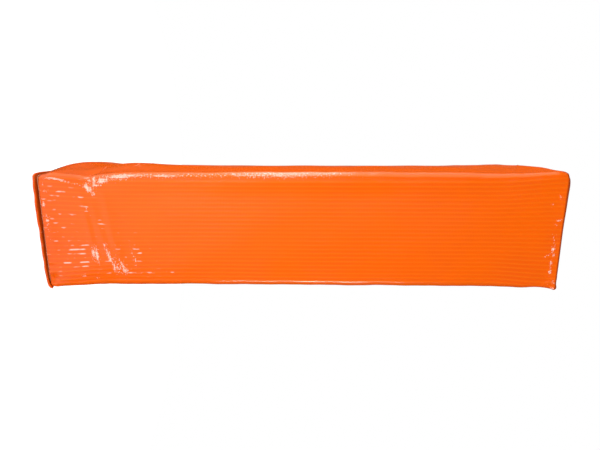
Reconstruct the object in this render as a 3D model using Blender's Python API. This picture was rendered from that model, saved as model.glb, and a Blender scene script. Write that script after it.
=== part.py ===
"""Football end zone pylon: a block of foam in a sewn vinyl cover, weighted by a bag of sand.

The pylon stands upright, its base on the floor at z = 0 and its long axis along +Z.
Every soft layer is a sheet: rings of a rounded square, one for each station of a profile,
are joined into a thin surface, which Solidify gives the thickness of the vinyl or film.
Layers that touch lie one CLEARANCE apart. All lengths are in metres.
"""

import math

import bpy
import numpy as np

# Overall size: 18 by 4 by 4 inches
PYLON_HEIGHT = 0.4572
PYLON_WIDTH = 0.1016

# Cover material and fit
VINYL = 0.0006
CLEARANCE = 0.0003

# Shape of the four long sides: flat and crisp at the seams, crowned and rounder between
FACE_CROWN = 0.0016
FOLD_RADIUS = 0.0050
END_FOLD_RADIUS = 0.0035
FOLD_EASE = 0.060
BALLAST_BULGE = 0.0016
BULGE_CROWN_SHARE = 0.5

# Top end: the seam turns in and both allowances hang inside
TOP_DOME = 0.0030
TOP_TURN_RADIUS = 0.0011
TOP_ALLOWANCE = 0.0090
TOP_DRAW = 0.0003

# Base end: the seam is left outside as a flange that leans to the floor
SHOULDER_RADIUS = 0.0068
SHOULDER_ANGLE = math.radians(50)
SEAM_TURN_RADIUS = 0.0012
FLANGE_LENGTH = 0.0050
FLANGE_DROP_ANGLE = math.radians(35)
FLANGE_LIFT = 0.0004
EAR_SHARE = 0.55
BASE_RAMP_ANGLE = math.radians(40)
BASE_RAMP_RADIUS = 0.0030

# Side seam, in the +X +Y corner
SIDE_TURN_RADIUS = 0.0015
SIDE_ALLOWANCE = 0.0064

# Ballast pouch: two films welded round a rim at half height
BALLAST_HEIGHT = 0.0450
FILM = 0.0002
POUCH_EDGE_RADIUS = 0.0100
POUCH_RIM = 0.0050
POUCH_RIM_TURN_RADIUS = 0.0012

# Foam block
FOAM_EDGE_RADIUS = 0.0040

# Lockstitch thread
THREAD_RADIUS = 0.00026
PULLED_THREAD_RADIUS = 0.00018
STITCH_LENGTH = 0.0060
STITCH_ARCH = 0.00015
STITCH_INSET = 0.0013

# Facets
FOLD_STEPS = 3
SIDE_STEPS = 4
SEAM_STEPS = 3
TURN_STEPS = 3
SHOULDER_STEPS = 2
EDGE_STEPS = 3
SMOOTH_ANGLE = math.radians(35)
EASE_SHARES = (0, 0.25, 0.55, 1)
DOME_SHARES = (0.8, 0.5, 0.2)

# Sizes that follow
LAYER = VINYL + CLEARANCE
HALF_WIDTH = (PYLON_WIDTH - VINYL) / 2
TOP_TURN_Z = PYLON_HEIGHT - TOP_DOME - VINYL / 2 - TOP_TURN_RADIUS
ALLOWANCE_END_Z = TOP_TURN_Z - TOP_ALLOWANCE
TOP_HALF = HALF_WIDTH - TOP_DRAW
SKIRT_HALF = TOP_HALF - 2 * TOP_TURN_RADIUS - LAYER
SEAM_CLEAR = FOLD_EASE * EASE_SHARES[1]
FLANGE_ALONG = (math.cos(FLANGE_DROP_ANGLE), -math.sin(FLANGE_DROP_ANGLE))
FLANGE_UP = (math.sin(FLANGE_DROP_ANGLE), math.cos(FLANGE_DROP_ANGLE))
FLANGE_TIP_Z = FLANGE_LIFT + VINYL / 2 + LAYER * FLANGE_UP[1]
SEAM_Z = FLANGE_TIP_Z - FLANGE_LENGTH * FLANGE_ALONG[1]
BALLAST_Z = VINYL + CLEARANCE + FILM / 2
FOAM_Z = BALLAST_Z + BALLAST_HEIGHT + FILM / 2 + CLEARANCE


def ease(share):
    """Smooth step: 0 at or below 0, 1 at or above 1, with level ends."""
    clipped = min(max(share, 0.0), 1.0)
    return clipped * clipped * (3 - 2 * clipped)


def arc(centre, radius, start, sweep, steps):
    """Points of an arc as (across, up) pairs, both ends included."""
    angles = start + sweep * np.linspace(0, 1, steps + 1)
    return [(centre[0] + radius * math.cos(a), centre[1] + radius * math.sin(a)) for a in angles]


def side_crown(steps):
    """Shares of the crown at the inner points of one side: a parabola, 0 at both folds."""
    share = np.arange(1, steps) / steps
    return share, 4 * share * (1 - share)


def square_ring(half, radius, crown=0.0):
    """Closed ring of a rounded square, counter-clockwise from the middle of its +X side's end.

    Each quarter is a corner arc followed by the inner points of the next side, which stand
    out by crown times a parabola. The other quarters are the first one turned by 90 degrees.
    """
    corner = arc((half - radius, half - radius), radius, 0, math.pi / 2, FOLD_STEPS)
    share, rise = side_crown(SIDE_STEPS)
    side = np.column_stack([(half - radius) * (1 - 2 * share), half + crown * rise])
    quarter = np.vstack([corner, side])
    return np.vstack([turned(quarter, q) for q in range(4)])


def turned(points, quarters):
    """Plan points turned counter-clockwise about the axis by a number of right angles."""
    angle = quarters * math.pi / 2
    turn = np.array([[math.cos(angle), math.sin(angle)], [-math.sin(angle), math.cos(angle)]])
    return np.asarray(points) @ turn


def seam_corner(half, radius, seam_share):
    """Half of the sleeve's seamed corner, from the seam to the +Y side.

    At share 1 the panel turns in to run along the corner's diagonal, and at share 0 it is the
    plain rounded corner, cut on the diagonal. Between, the two are mixed.
    """
    offset = LAYER / 2
    centre_x = half - SIDE_TURN_RADIUS - math.sqrt(2) * (offset + SIDE_TURN_RADIUS)
    sewn = arc((centre_x, half - SIDE_TURN_RADIUS), SIDE_TURN_RADIUS, -math.pi / 4,
               math.pi * 3 / 4, SEAM_STEPS)
    slit = CLEARANCE / 2 / radius
    plain = arc((half - radius, half - radius), radius, math.pi / 4 + slit,
                math.pi / 4 - slit, SEAM_STEPS)
    return seam_share * np.array(sewn) + (1 - seam_share) * np.array(plain)


def sleeve_ring(half, radius, crown, seam_share):
    """Open ring of the wrapped sleeve, from one side of the seamed corner round to the other."""
    share, rise = side_crown(SIDE_STEPS)
    start = seam_corner(half, radius, seam_share)
    corner = arc((half - radius, half - radius), radius, 0, math.pi / 2, FOLD_STEPS)
    end_x = half - radius
    first_side = np.column_stack([start[-1, 0] + share * (-end_x - start[-1, 0]),
                                  half + crown * rise])
    middle_side = np.column_stack([end_x * (1 - 2 * share), half + crown * rise])
    quarters = [start, first_side, turned(corner, 1), turned(middle_side, 1), turned(corner, 2)]
    mirrored = [piece[::-1, ::-1] for piece in reversed(quarters[:-1])]
    return np.vstack(quarters + mirrored)


def swell_at(z):
    """How far the ballast pushes the middle of a face out: a bell round its upper edge."""
    return BALLAST_BULGE * math.exp(-((z - FOAM_Z) / FOLD_EASE) ** 2)


def wall_shape(z):
    """Half width, fold radius, crown and seam share that the sleeve is given at a height.

    Away from the ends the folds draw in as the faces crown, so the faces keep the full width.
    The top seam draws its end in. Round its upper edge the ballast pushes the folds out, and
    the faces further out than the folds.
    """
    from_end = min(z - SHOULDER_Z, TOP_TURN_Z - z)
    blend = ease(from_end / FOLD_EASE)
    draw = TOP_DRAW * (1 - ease((TOP_TURN_Z - z) / SEAM_CLEAR))
    swell = swell_at(z)
    half = HALF_WIDTH - FACE_CROWN * blend - draw + swell * (1 - BULGE_CROWN_SHARE)
    radius = END_FOLD_RADIUS + (FOLD_RADIUS - END_FOLD_RADIUS) * blend
    crown = FACE_CROWN * blend + swell * BULGE_CROWN_SHARE
    return half, radius, crown, ease(from_end / SEAM_CLEAR)


def wall_form(z):
    """The sleeve's shape at any height, on the straight facets between its rings."""
    heights = wall_heights()[::-1]
    shapes = np.array([wall_shape(height) for height in heights])
    return tuple(float(np.interp(z, heights, column)) for column in shapes.T)


def base_curve():
    """Mid-surface profile of the sleeve from its shoulder to where the flange starts.

    The wall bends in round SHOULDER_RADIUS, then sharply out round SEAM_TURN_RADIUS.
    Both arcs are worked out from the seam's height upwards. Returns (half, z) pairs.
    """
    slope = SHOULDER_ANGLE
    pinch_z = SEAM_Z + SEAM_TURN_RADIUS * FLANGE_UP[1]
    join_z = pinch_z + SEAM_TURN_RADIUS * math.sin(slope)
    shoulder_z = join_z + SHOULDER_RADIUS * math.sin(slope)
    shoulder_half = HALF_WIDTH + swell_at(shoulder_z) * (1 - BULGE_CROWN_SHARE)
    join_half = shoulder_half - SHOULDER_RADIUS * (1 - math.cos(slope))
    pinch_half = join_half + SEAM_TURN_RADIUS * math.cos(slope)
    shoulder = arc((shoulder_half - SHOULDER_RADIUS, shoulder_z), SHOULDER_RADIUS, 0, -slope,
                   SHOULDER_STEPS)
    sweep = math.pi / 2 - FLANGE_DROP_ANGLE + slope
    pinch = arc((pinch_half, pinch_z), SEAM_TURN_RADIUS, math.pi - slope, sweep, TURN_STEPS)
    return shoulder + pinch[1:]


BASE_CURVE = base_curve()
SHOULDER_Z = BASE_CURVE[0][1]
SEAM_HALF = BASE_CURVE[-1][0]


def flange_point(along, above):
    """(half, z) of a point along the flange from its seam and above the sleeve's layer."""
    return (SEAM_HALF + along * FLANGE_ALONG[0] + above * FLANGE_UP[0],
            SEAM_Z + along * FLANGE_ALONG[1] + above * FLANGE_UP[1])


def flange_radius(along):
    """Corner radius along the flange: it sharpens towards the tip, which makes the ears."""
    return END_FOLD_RADIUS * (1 - EAR_SHARE * along / FLANGE_LENGTH)


def plain_material(name, colour, roughness, metallic=0.0):
    """One Principled material with a flat colour."""
    material = bpy.data.materials.new(name)
    material.use_nodes = True
    shader = material.node_tree.nodes["Principled BSDF"]
    shader.inputs["Base Color"].default_value = (*colour, 1)
    shader.inputs["Roughness"].default_value = roughness
    shader.inputs["Metallic"].default_value = metallic
    return material


def add_object(name, vertices, faces, material, wall=None):
    """Make one named object from points and faces, with a wall's thickness if it is a sheet."""
    mesh = bpy.data.meshes.new(name)
    mesh.from_pydata([tuple(map(float, v)) for v in vertices], [], faces)
    mesh.materials.append(material)
    mesh.shade_smooth()
    mesh.set_sharp_from_angle(angle=SMOOTH_ANGLE)
    piece = bpy.data.objects.new(name, mesh)
    bpy.context.collection.objects.link(piece)
    if wall is not None:
        solidify = piece.modifiers.new("wall", "SOLIDIFY")
        solidify.thickness = wall
        solidify.offset = 0
        solidify.use_even_offset = True
    return piece


def lofted(stations, bottom_z=None, top_z=None):
    """Vertices and faces of a form through square rings, in the order of its outer side going up.

    A station is (half, radius, crown, z). An end with a height gets a fan round its middle.
    """
    rings = [np.column_stack([square_ring(h, r, c), np.full(4 * (FOLD_STEPS + SIDE_STEPS), z)])
             for h, r, c, z in stations]
    count = len(rings[0])
    vertices = list(np.vstack(rings))
    faces = []
    for row in range(len(rings) - 1):
        for k in range(count):
            a, b = row * count + k, row * count + (k + 1) % count
            faces.append((a, b, b + count, a + count))
    if bottom_z is not None:
        vertices.append((0, 0, bottom_z))
        faces += [((k + 1) % count, k, len(vertices) - 1) for k in range(count)]
    if top_z is not None:
        last = (len(rings) - 1) * count
        vertices.append((0, 0, top_z))
        faces += [(last + k, last + (k + 1) % count, len(vertices) - 1) for k in range(count)]
    return vertices, faces


def make_cover_sleeve(material):
    """The long panel: top allowance, turned edge, four sides, shoulder, seam and flange.

    Its two long edges meet in the +X +Y corner, where both turn in and run side by side.
    """
    turn_half = TOP_HALF - TOP_TURN_RADIUS
    turn = arc((turn_half, TOP_TURN_Z), TOP_TURN_RADIUS, math.pi, -math.pi, TURN_STEPS)
    stations = [(SKIRT_HALF + LAYER, END_FOLD_RADIUS, 0, 0, ALLOWANCE_END_Z)]
    stations += [(half, END_FOLD_RADIUS, 0, 0, z) for half, z in turn[:-1]]
    stations += [(*wall_form(z), z) for z in wall_heights()]
    swell = wall_form(SHOULDER_Z)[2]
    stations += [(half, END_FOLD_RADIUS, swell * shoulder_share(z), 0, z) for half, z in BASE_CURVE[1:]]
    tip_half, tip_z = flange_point(FLANGE_LENGTH, 0)
    stations.append((tip_half, flange_radius(FLANGE_LENGTH), 0, 0, tip_z))

    rings = [np.column_stack([ring, np.full(len(ring), z)])
             for *form, z in stations for ring in [sleeve_ring(*form)]]
    count = len(rings[0])
    vertices = list(np.vstack(rings))
    faces = []
    for row in range(len(rings) - 1):
        for k in range(count - 1):
            a = row * count + k
            faces.append((a + 1, a, a + count, a + count + 1))
    inward = -SIDE_ALLOWANCE / math.sqrt(2)
    sewn_rows = [i for i, s in enumerate(stations) if s[4] < ALLOWANCE_END_Z and s[3] == 1]
    for edge, step in ((0, 1), (count - 1, -1)):
        first = len(vertices)
        for row in sewn_rows:
            vertices.append(rings[row][edge] + np.array([inward, inward, 0]))
        for i in range(len(sewn_rows) - 1):
            outer, lower = sewn_rows[i] * count + edge, sewn_rows[i + 1] * count + edge
            loop = (outer, first + i, first + i + 1, lower)
            faces.append(loop if step > 0 else loop[::-1])
    return add_object("cover_sleeve", vertices, faces, material, VINYL)


def wall_heights():
    """Heights of the wall's rings, from the top turn down to the shoulder, closer at the ends."""
    top_steps = [TOP_TURN_Z - FOLD_EASE * share for share in EASE_SHARES]
    base_steps = [SHOULDER_Z + FOLD_EASE * share for share in EASE_SHARES]
    return top_steps + [(top_steps[-1] + base_steps[-1]) / 2] + base_steps[::-1]


def shoulder_share(z):
    """Share of the side's swell that is left at a height under the shoulder."""
    return ease((z - SEAM_Z) / (SHOULDER_Z - SEAM_Z))


def make_cover_top_panel(material):
    """The square top: a low dome whose edge turns down into a skirt inside the sleeve's."""
    edge = SKIRT_HALF - TOP_TURN_RADIUS
    skirt = [(SKIRT_HALF, END_FOLD_RADIUS, 0, ALLOWANCE_END_Z)]
    corner = arc((edge, TOP_TURN_Z), TOP_TURN_RADIUS, 0, math.pi / 2, TURN_STEPS)
    stations = skirt + [(half, END_FOLD_RADIUS, 0, z) for half, z in corner]
    rim_z = TOP_TURN_Z + TOP_TURN_RADIUS
    for share in DOME_SHARES:
        stations.append((edge * share, dome_radius(edge, share), 0, dome_z(rim_z, share)))
    vertices, faces = lofted(stations, top_z=dome_z(rim_z, 0))
    return add_object("cover_top_panel", vertices, faces, material, VINYL)


def dome_radius(edge, share):
    """Corner radius of a dome's ring: the seam's at the edge, rounder towards the middle."""
    return share * (END_FOLD_RADIUS * share + edge * (1 - share))


def dome_z(rim_z, share):
    """Height of the dome over its rim: a parabola with TOP_DOME at the middle."""
    return rim_z + TOP_DOME * (1 - share * share)


def make_cover_base_panel(material):
    """The square base: flat on the floor, rising to the seam and out along the flange."""
    mid_z = VINYL / 2
    seam = flange_point(0, -LAYER)
    bend = (seam[0] - SEAM_TURN_RADIUS * FLANGE_UP[0], seam[1] - SEAM_TURN_RADIUS * FLANGE_UP[1])
    up = BASE_RAMP_ANGLE
    crest = arc(bend, SEAM_TURN_RADIUS, math.pi / 2 - FLANGE_DROP_ANGLE,
                FLANGE_DROP_ANGLE + up, TURN_STEPS)
    foot_z = mid_z + BASE_RAMP_RADIUS * (1 - math.cos(up))
    ramp_half = (crest[-1][1] - foot_z) / math.tan(up)
    foot_half = crest[-1][0] - ramp_half - BASE_RAMP_RADIUS * math.sin(up)
    foot = arc((foot_half, mid_z + BASE_RAMP_RADIUS), BASE_RAMP_RADIUS, up - math.pi / 2, -up,
               TURN_STEPS)
    tip_half, tip_z = flange_point(FLANGE_LENGTH, -LAYER)
    stations = [(tip_half, flange_radius(FLANGE_LENGTH), 0, tip_z)]
    stations += [(half, END_FOLD_RADIUS, 0, z) for half, z in crest + foot]
    stations.append((foot_half / 2, END_FOLD_RADIUS, 0, mid_z))
    vertices, faces = lofted(stations, top_z=mid_z)
    return add_object("cover_base_panel", vertices, faces, material, VINYL)


def make_foam_core(material):
    """The foam block: the sleeve's inner form, stepped in at the top for the allowances.

    A slot down the seamed corner takes the side seam's allowances and threads.
    """
    inset = VINYL / 2 + CLEARANCE
    step_half = SKIRT_HALF - inset - 2 * (THREAD_RADIUS + STITCH_ARCH) - CLEARANCE
    step_z = ALLOWANCE_END_Z - CLEARANCE - VINYL / 2
    heights = [z for z in wall_heights() if FOAM_Z + FOAM_EDGE_RADIUS < z < step_z - FOAM_EDGE_RADIUS]
    bottom = wall_form(FOAM_Z + FOAM_EDGE_RADIUS)
    low_half = bottom[0] - inset
    edge = arc((low_half - FOAM_EDGE_RADIUS, FOAM_Z + FOAM_EDGE_RADIUS), FOAM_EDGE_RADIUS,
               -math.pi / 2, math.pi / 2, EDGE_STEPS)
    stations = [(half, bottom[1], bottom[2] * ease((z - FOAM_Z) / FOAM_EDGE_RADIUS), z)
                for half, z in edge]
    for z in reversed(heights):
        half, radius, crown, _ = wall_form(z)
        stations.append((half - inset, radius, crown, z))
    half, radius, crown, _ = wall_form(step_z)
    stations.append((half - inset, radius, crown, step_z))
    stations.append((step_half, END_FOLD_RADIUS, 0, step_z))
    rim_z = TOP_TURN_Z + TOP_TURN_RADIUS - inset
    round_off = arc((step_half - FOAM_EDGE_RADIUS, rim_z - FOAM_EDGE_RADIUS), FOAM_EDGE_RADIUS, 0,
                    math.pi / 2, EDGE_STEPS)
    stations += [(h, END_FOLD_RADIUS, 0, z) for h, z in round_off]
    edge_half = step_half - FOAM_EDGE_RADIUS
    stations += [(edge_half * s, dome_radius(edge_half, s), 0, dome_z(rim_z, s)) for s in DOME_SHARES]
    vertices, faces = lofted(stations, FOAM_Z, dome_z(rim_z, 0))
    foam = add_object("foam_core", vertices, faces, material)
    for name, cutter in (("seam_slot", slot_cutter()), ("seam_chamfer", chamfer_cutter())):
        cut = foam.modifiers.new(name, "BOOLEAN")
        cut.object = cutter
        cut.operation = "DIFFERENCE"
        cut.solver = "EXACT"
    return foam


def seam_diagonal(half):
    """Distance from the axis, along the corner's diagonal, at which the side seam is sewn."""
    return math.sqrt(2) * (half - SIDE_TURN_RADIUS) - (LAYER / 2 + SIDE_TURN_RADIUS)


def diagonal_box(name, near, far, half_thickness):
    """A hidden upright cutter in the +X +Y corner, from near to far along the diagonal."""
    along = np.array([1, 1]) / math.sqrt(2)
    across = np.array([-1, 1]) / math.sqrt(2)
    plan = [along * near - across * half_thickness, along * far - across * half_thickness,
            along * far + across * half_thickness, along * near + across * half_thickness]
    vertices = [(*point, z) for z in (0, PYLON_HEIGHT + VINYL) for point in plan]
    faces = [(3, 2, 1, 0), (4, 5, 6, 7), (0, 1, 5, 4), (1, 2, 6, 5), (2, 3, 7, 6), (3, 0, 4, 7)]
    mesh = bpy.data.meshes.new(name)
    mesh.from_pydata([tuple(map(float, v)) for v in vertices], [], faces)
    cutter = bpy.data.objects.new(name, mesh)
    bpy.context.collection.objects.link(cutter)
    cutter.hide_render = True
    cutter.display_type = "WIRE"
    return cutter


def slot_cutter():
    """Cutter for the slot that holds the side seam's allowances and threads."""
    least = seam_diagonal(HALF_WIDTH - FACE_CROWN)
    half_thickness = LAYER + VINYL / 2 + 2 * (THREAD_RADIUS + STITCH_ARCH) + 2 * CLEARANCE
    return diagonal_box("seam_slot_cutter", least - SIDE_ALLOWANCE - CLEARANCE, PYLON_WIDTH,
                        half_thickness)


def chamfer_cutter():
    """Cutter that keeps the foam's corner behind the turn of the side seam."""
    least = seam_diagonal(HALF_WIDTH - FACE_CROWN)
    return diagonal_box("seam_chamfer_cutter", least - CLEARANCE, PYLON_WIDTH, PYLON_WIDTH / 2)


def pouch_stations(inset, rim):
    """Rings of the pouch's lower half from the rim in to the flat, or of the sand inside it.

    The rim reaches the cover's wall, and its corners are round enough to pass the side seam.
    The side bends over a rounded edge on to the flat, inset inside the film's mid-surface.
    """
    rim_z = BALLAST_Z + (BALLAST_HEIGHT - FILM - CLEARANCE) / 2
    rim_half = wall_form(rim_z)[0] - VINYL / 2 - CLEARANCE
    reach = seam_diagonal(HALF_WIDTH - FACE_CROWN) - SIDE_ALLOWANCE - 2 * CLEARANCE
    rim_radius = (math.sqrt(2) * rim_half - reach) / (math.sqrt(2) - 1)
    turn = POUCH_RIM_TURN_RADIUS
    half = rim_half - POUCH_RIM - turn - inset
    radius = POUCH_EDGE_RADIUS - inset
    edge = arc((half - radius, BALLAST_Z + inset + radius), radius, 0, -math.pi / 2, EDGE_STEPS)
    stations = []
    if rim:
        bend = arc((half + turn, rim_z - turn), turn, math.pi / 2, math.pi / 2, TURN_STEPS)
        stations = [(rim_half, rim_z)] + bend
    return [(h, rim_radius + h - rim_half, 0, z) for h, z in stations + edge]


def make_ballast_bag(name, material, upper):
    """One film of the pouch. The upper film is the lower one turned over."""
    stations = pouch_stations(0, True)
    if upper:
        middle = BALLAST_Z + BALLAST_HEIGHT / 2
        stations = [(h, r, c, 2 * middle - z) for h, r, c, z in stations]
    vertices, faces = lofted(stations, top_z=stations[-1][3])
    return add_object(name, vertices, faces, material, FILM)


def make_ballast_sand(material):
    """The sand: it fills the pouch, one CLEARANCE inside the film."""
    lower = pouch_stations(FILM / 2 + CLEARANCE, False)
    middle = BALLAST_Z + BALLAST_HEIGHT / 2
    upper = [(h, r, c, 2 * middle - z) for h, r, c, z in lower]
    vertices, faces = lofted(lower[::-1] + upper, lower[-1][3], upper[-1][3])
    return add_object("ballast_sand", vertices, faces, material)


def thread_tube(name, points, outward, radii, closed, material):
    """A four-sided cord along points, widest at mid-stitch and narrow at the needle holes."""
    points, outward = np.array(points, float), np.array(outward, float)
    if closed:
        along = np.roll(points, -1, 0) - np.roll(points, 1, 0)
    else:
        along = np.gradient(points, axis=0)
    along /= np.linalg.norm(along, axis=1)[:, None]
    side = np.cross(along, outward)
    side /= np.linalg.norm(side, axis=1)[:, None]
    lift = np.cross(side, along)
    radii = np.array(radii)[:, None]
    rows = [points + radii * d for d in (side, lift, -side, -lift)]
    vertices = np.stack(rows, 1).reshape(-1, 3)
    count = len(points)
    faces = []
    for i in range(count if closed else count - 1):
        a, b = 4 * i, 4 * ((i + 1) % count)
        faces += [(a + k, a + (k + 1) % 4, b + (k + 1) % 4, b + k) for k in range(4)]
    if not closed:
        last = 4 * (count - 1)
        faces += [(3, 2, 1, 0), (last, last + 1, last + 2, last + 3)]
    return add_object(name, vertices, [f[::-1] for f in faces], material)


def stitched_quarter(half, radius):
    """Plan points of one quarter of a seam with their mid-stitch marks.

    One stitch turns the corner, and the side holds a whole number of stitches.
    """
    corner = arc((half - radius, half - radius), radius, 0, math.pi / 2, FOLD_STEPS)
    run = 2 * (half - radius)
    stitches = max(2, round(run / STITCH_LENGTH))
    share = np.arange(1, 2 * stitches) / (2 * stitches)
    side = np.column_stack([(half - radius) * (1 - 2 * share), np.full(len(share), half)])
    marks = [0] + [1] * (FOLD_STEPS - 1) + [0] + [k % 2 for k in range(1, 2 * stitches)]
    return np.vstack([corner, side]), marks


def make_ring_thread(name, low, high, radius, outward, material):
    """A seam thread round the pylon: it lies at low over the holes and at high between them.

    low and high are (half, z), and outward is the (across, up) direction off the vinyl.
    """
    points, normals, radii = [], [], []
    low_plan, marks = stitched_quarter(low[0], radius)
    high_plan, _ = stitched_quarter(high[0], radius)
    for q in range(4):
        for low_point, high_point, mark in zip(turned(low_plan, q), turned(high_plan, q), marks):
            plan = high_point if mark else low_point
            points.append((*plan, high[1] if mark else low[1]))
            away = plan / np.linalg.norm(plan)
            normals.append((*(away * outward[0]), outward[1]))
            radii.append(THREAD_RADIUS if mark else PULLED_THREAD_RADIUS)
    return thread_tube(name, points, normals, radii, True, material)


def make_base_threads(material):
    """Needle thread in the groove on the flange, bobbin thread under the base panel's layer."""
    rest = VINYL / 2 + CLEARANCE + THREAD_RADIUS
    radius = flange_radius(STITCH_INSET)
    for name, base, sign in (("base_seam_needle_thread", 0, 1),
                             ("base_seam_bobbin_thread", -LAYER, -1)):
        low = flange_point(STITCH_INSET, base + sign * rest)
        high = flange_point(STITCH_INSET, base + sign * (rest + STITCH_ARCH))
        make_ring_thread(name, low, high, radius, (sign * FLANGE_UP[0], sign * FLANGE_UP[1]),
                         material)


def make_top_threads(material):
    """Needle thread outside the sleeve's top allowance, bobbin thread inside the panel's."""
    rest = VINYL / 2 + CLEARANCE + THREAD_RADIUS
    z = TOP_TURN_Z - STITCH_INSET
    for name, face, sign in (("top_seam_needle_thread", SKIRT_HALF + LAYER, 1),
                             ("top_seam_bobbin_thread", SKIRT_HALF, -1)):
        low, high = face + sign * rest, face + sign * (rest + STITCH_ARCH)
        make_ring_thread(name, (low, z), (high, z), END_FOLD_RADIUS, (sign, 0), material)


def make_side_threads(material):
    """Straight threads down both sides of the side seam's paired allowances."""
    rest = LAYER / 2 + VINYL / 2 + CLEARANCE + THREAD_RADIUS
    low_z = wall_heights()[-2] + STITCH_LENGTH
    high_z = wall_heights()[1] - STITCH_LENGTH
    stitches = round((high_z - low_z) / STITCH_LENGTH)
    heights = np.linspace(low_z, high_z, 2 * stitches + 1)
    along = np.array([1, 1]) / math.sqrt(2)
    for name, sign in (("side_seam_needle_thread", 1), ("side_seam_bobbin_thread", -1)):
        across = sign * np.array([-1, 1]) / math.sqrt(2)
        points, radii = [], []
        for k, z in enumerate(heights):
            diagonal = seam_diagonal(wall_form(z)[0]) - STITCH_INSET
            lift = rest + STITCH_ARCH * (k % 2)
            points.append((*(along * diagonal + across * lift), z))
            radii.append(THREAD_RADIUS if k % 2 else PULLED_THREAD_RADIUS)
        outward = np.tile([*across, 0.0], (len(points), 1))
        thread_tube(name, points, outward, radii, False, material)


def main():
    """Build every piece of the pylon in an empty scene."""
    for old in list(bpy.data.objects):
        bpy.data.objects.remove(old)
    vinyl = plain_material("orange_vinyl", (0.95, 0.15, 0.01), 0.35)
    foam = plain_material("cream_foam", (0.82, 0.77, 0.62), 0.95)
    film = plain_material("clear_film", (0.75, 0.80, 0.82), 0.20)
    sand = plain_material("dry_sand", (0.50, 0.38, 0.22), 0.95)
    thread = plain_material("pale_thread", (0.90, 0.62, 0.42), 0.60)
    make_cover_sleeve(vinyl)
    make_cover_top_panel(vinyl)
    make_cover_base_panel(vinyl)
    make_foam_core(foam)
    make_ballast_bag("ballast_bag_lower", film, False)
    make_ballast_bag("ballast_bag_upper", film, True)
    make_ballast_sand(sand)
    make_base_threads(thread)
    make_top_threads(thread)
    make_side_threads(thread)


main()
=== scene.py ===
"""Looks of the football end zone pylon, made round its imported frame.

The pylon stands on the floor at z = 0 with its long axis along +Z. The photographed face is -Y, and
the camera is rolled, so that +Z points right in the picture and -X points up.

Every soft layer is worked out on one grid. Its columns run round the pylon in four spans, one for
each side, from corner to corner, and its rows follow a profile of half width against height.
Broad forms, wrinkles and puckers are then added along the surface's own normal. Lengths are in
metres, but for the tables, which are in millimetres.
"""

import math

import bmesh
import bpy
import numpy as np
from mathutils import Matrix, Vector


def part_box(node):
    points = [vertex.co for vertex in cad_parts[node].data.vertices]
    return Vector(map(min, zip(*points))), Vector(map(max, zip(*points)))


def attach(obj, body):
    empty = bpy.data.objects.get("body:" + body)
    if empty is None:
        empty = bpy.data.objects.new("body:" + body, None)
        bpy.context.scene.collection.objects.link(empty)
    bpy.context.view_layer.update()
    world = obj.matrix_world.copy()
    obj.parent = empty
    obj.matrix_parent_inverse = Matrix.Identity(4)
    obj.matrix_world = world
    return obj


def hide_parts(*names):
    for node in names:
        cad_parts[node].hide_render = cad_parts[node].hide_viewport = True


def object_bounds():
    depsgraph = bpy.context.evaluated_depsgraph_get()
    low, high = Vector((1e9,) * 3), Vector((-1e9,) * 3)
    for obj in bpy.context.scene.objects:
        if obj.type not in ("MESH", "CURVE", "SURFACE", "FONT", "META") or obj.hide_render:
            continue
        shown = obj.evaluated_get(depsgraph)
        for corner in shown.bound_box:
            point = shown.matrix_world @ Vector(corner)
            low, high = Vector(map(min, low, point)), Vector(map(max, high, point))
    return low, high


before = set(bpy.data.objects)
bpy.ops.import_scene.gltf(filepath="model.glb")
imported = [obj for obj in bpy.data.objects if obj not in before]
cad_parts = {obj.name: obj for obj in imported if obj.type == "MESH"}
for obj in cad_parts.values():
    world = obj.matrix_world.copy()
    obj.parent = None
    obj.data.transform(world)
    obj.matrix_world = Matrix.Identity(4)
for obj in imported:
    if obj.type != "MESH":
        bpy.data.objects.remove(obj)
cad_low, cad_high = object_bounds()

MM = 0.001
TURN = 2 * math.pi

# Main sizes of the cover, in metres; its height comes from the frame
HEIGHT = cad_high.z
WIDTH = 0.1016
VINYL = 0.0006
GAP = 0.0003
LAYER = VINYL + GAP
HALF = (WIDTH - VINYL) / 2

# Long sides
CROWN = 0.0014
FOLD_RADIUS = 0.0060
END_FOLD_RADIUS = 0.0035
FOLD_EASE = 0.060
BULGE = 0.0016

# Top end
TOP_DOME = 0.0030
TOP_TURN = 0.0011
TOP_ALLOWANCE = 0.0090
TOP_TURN_Z = HEIGHT - TOP_DOME - VINYL / 2 - TOP_TURN
SKIRT = HALF - 2 * TOP_TURN - LAYER
ALLOWANCE_END_Z = TOP_TURN_Z - TOP_ALLOWANCE

# Base end: shoulder, pinched seam, and the flange that leans to the floor
SHOULDER = 0.0015
SHOULDER_ANGLE = math.radians(65)
UNDERSIDE = 0.0020
PINCH = 0.0004
FLANGE = 0.0048
FLANGE_DROP = math.radians(12)
FLANGE_LIFT = 0.0001
EAR_SHARE = 0.10
BASE_RAMP = math.radians(25)
BASE_RAMP_RADIUS = 0.0030
BASE_FLAT_Z = VINYL / 2

# Ballast pouch and foam block
BALLAST_HEIGHT = 0.0450
FILM = 0.0002
POUCH_EDGE = 0.0100
POUCH_RIM = 0.0050
POUCH_RIM_TURN = 0.0012
POUCH_ROOM = 0.0030
POUCH_ROUND = 0.30
FOAM_Z = VINYL + GAP + FILM + BALLAST_HEIGHT + GAP
FOAM_EDGE = 0.0040
FOAM_EASE = 0.0004
FOAM_DENT = 1.1
FOAM_PULL = 0.009

# Lockstitch
THREAD = 0.00025
STITCH = 0.0060
STITCH_ARCH = 0.00018
STITCH_INSET = 0.0013
STITCH_STEPS = 10

# Columns of one span: finer round the corners
FLAT_SHARE = 0.90
SPAN_FLAT_COLUMNS = 88
SPAN_CORNER_COLUMNS = 8

# Rows of the sleeve's wall: spacing at its ends and in its middle, and where it widens
WALL_ROWS = (0.0009, 0.0045, 0.060)

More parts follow.
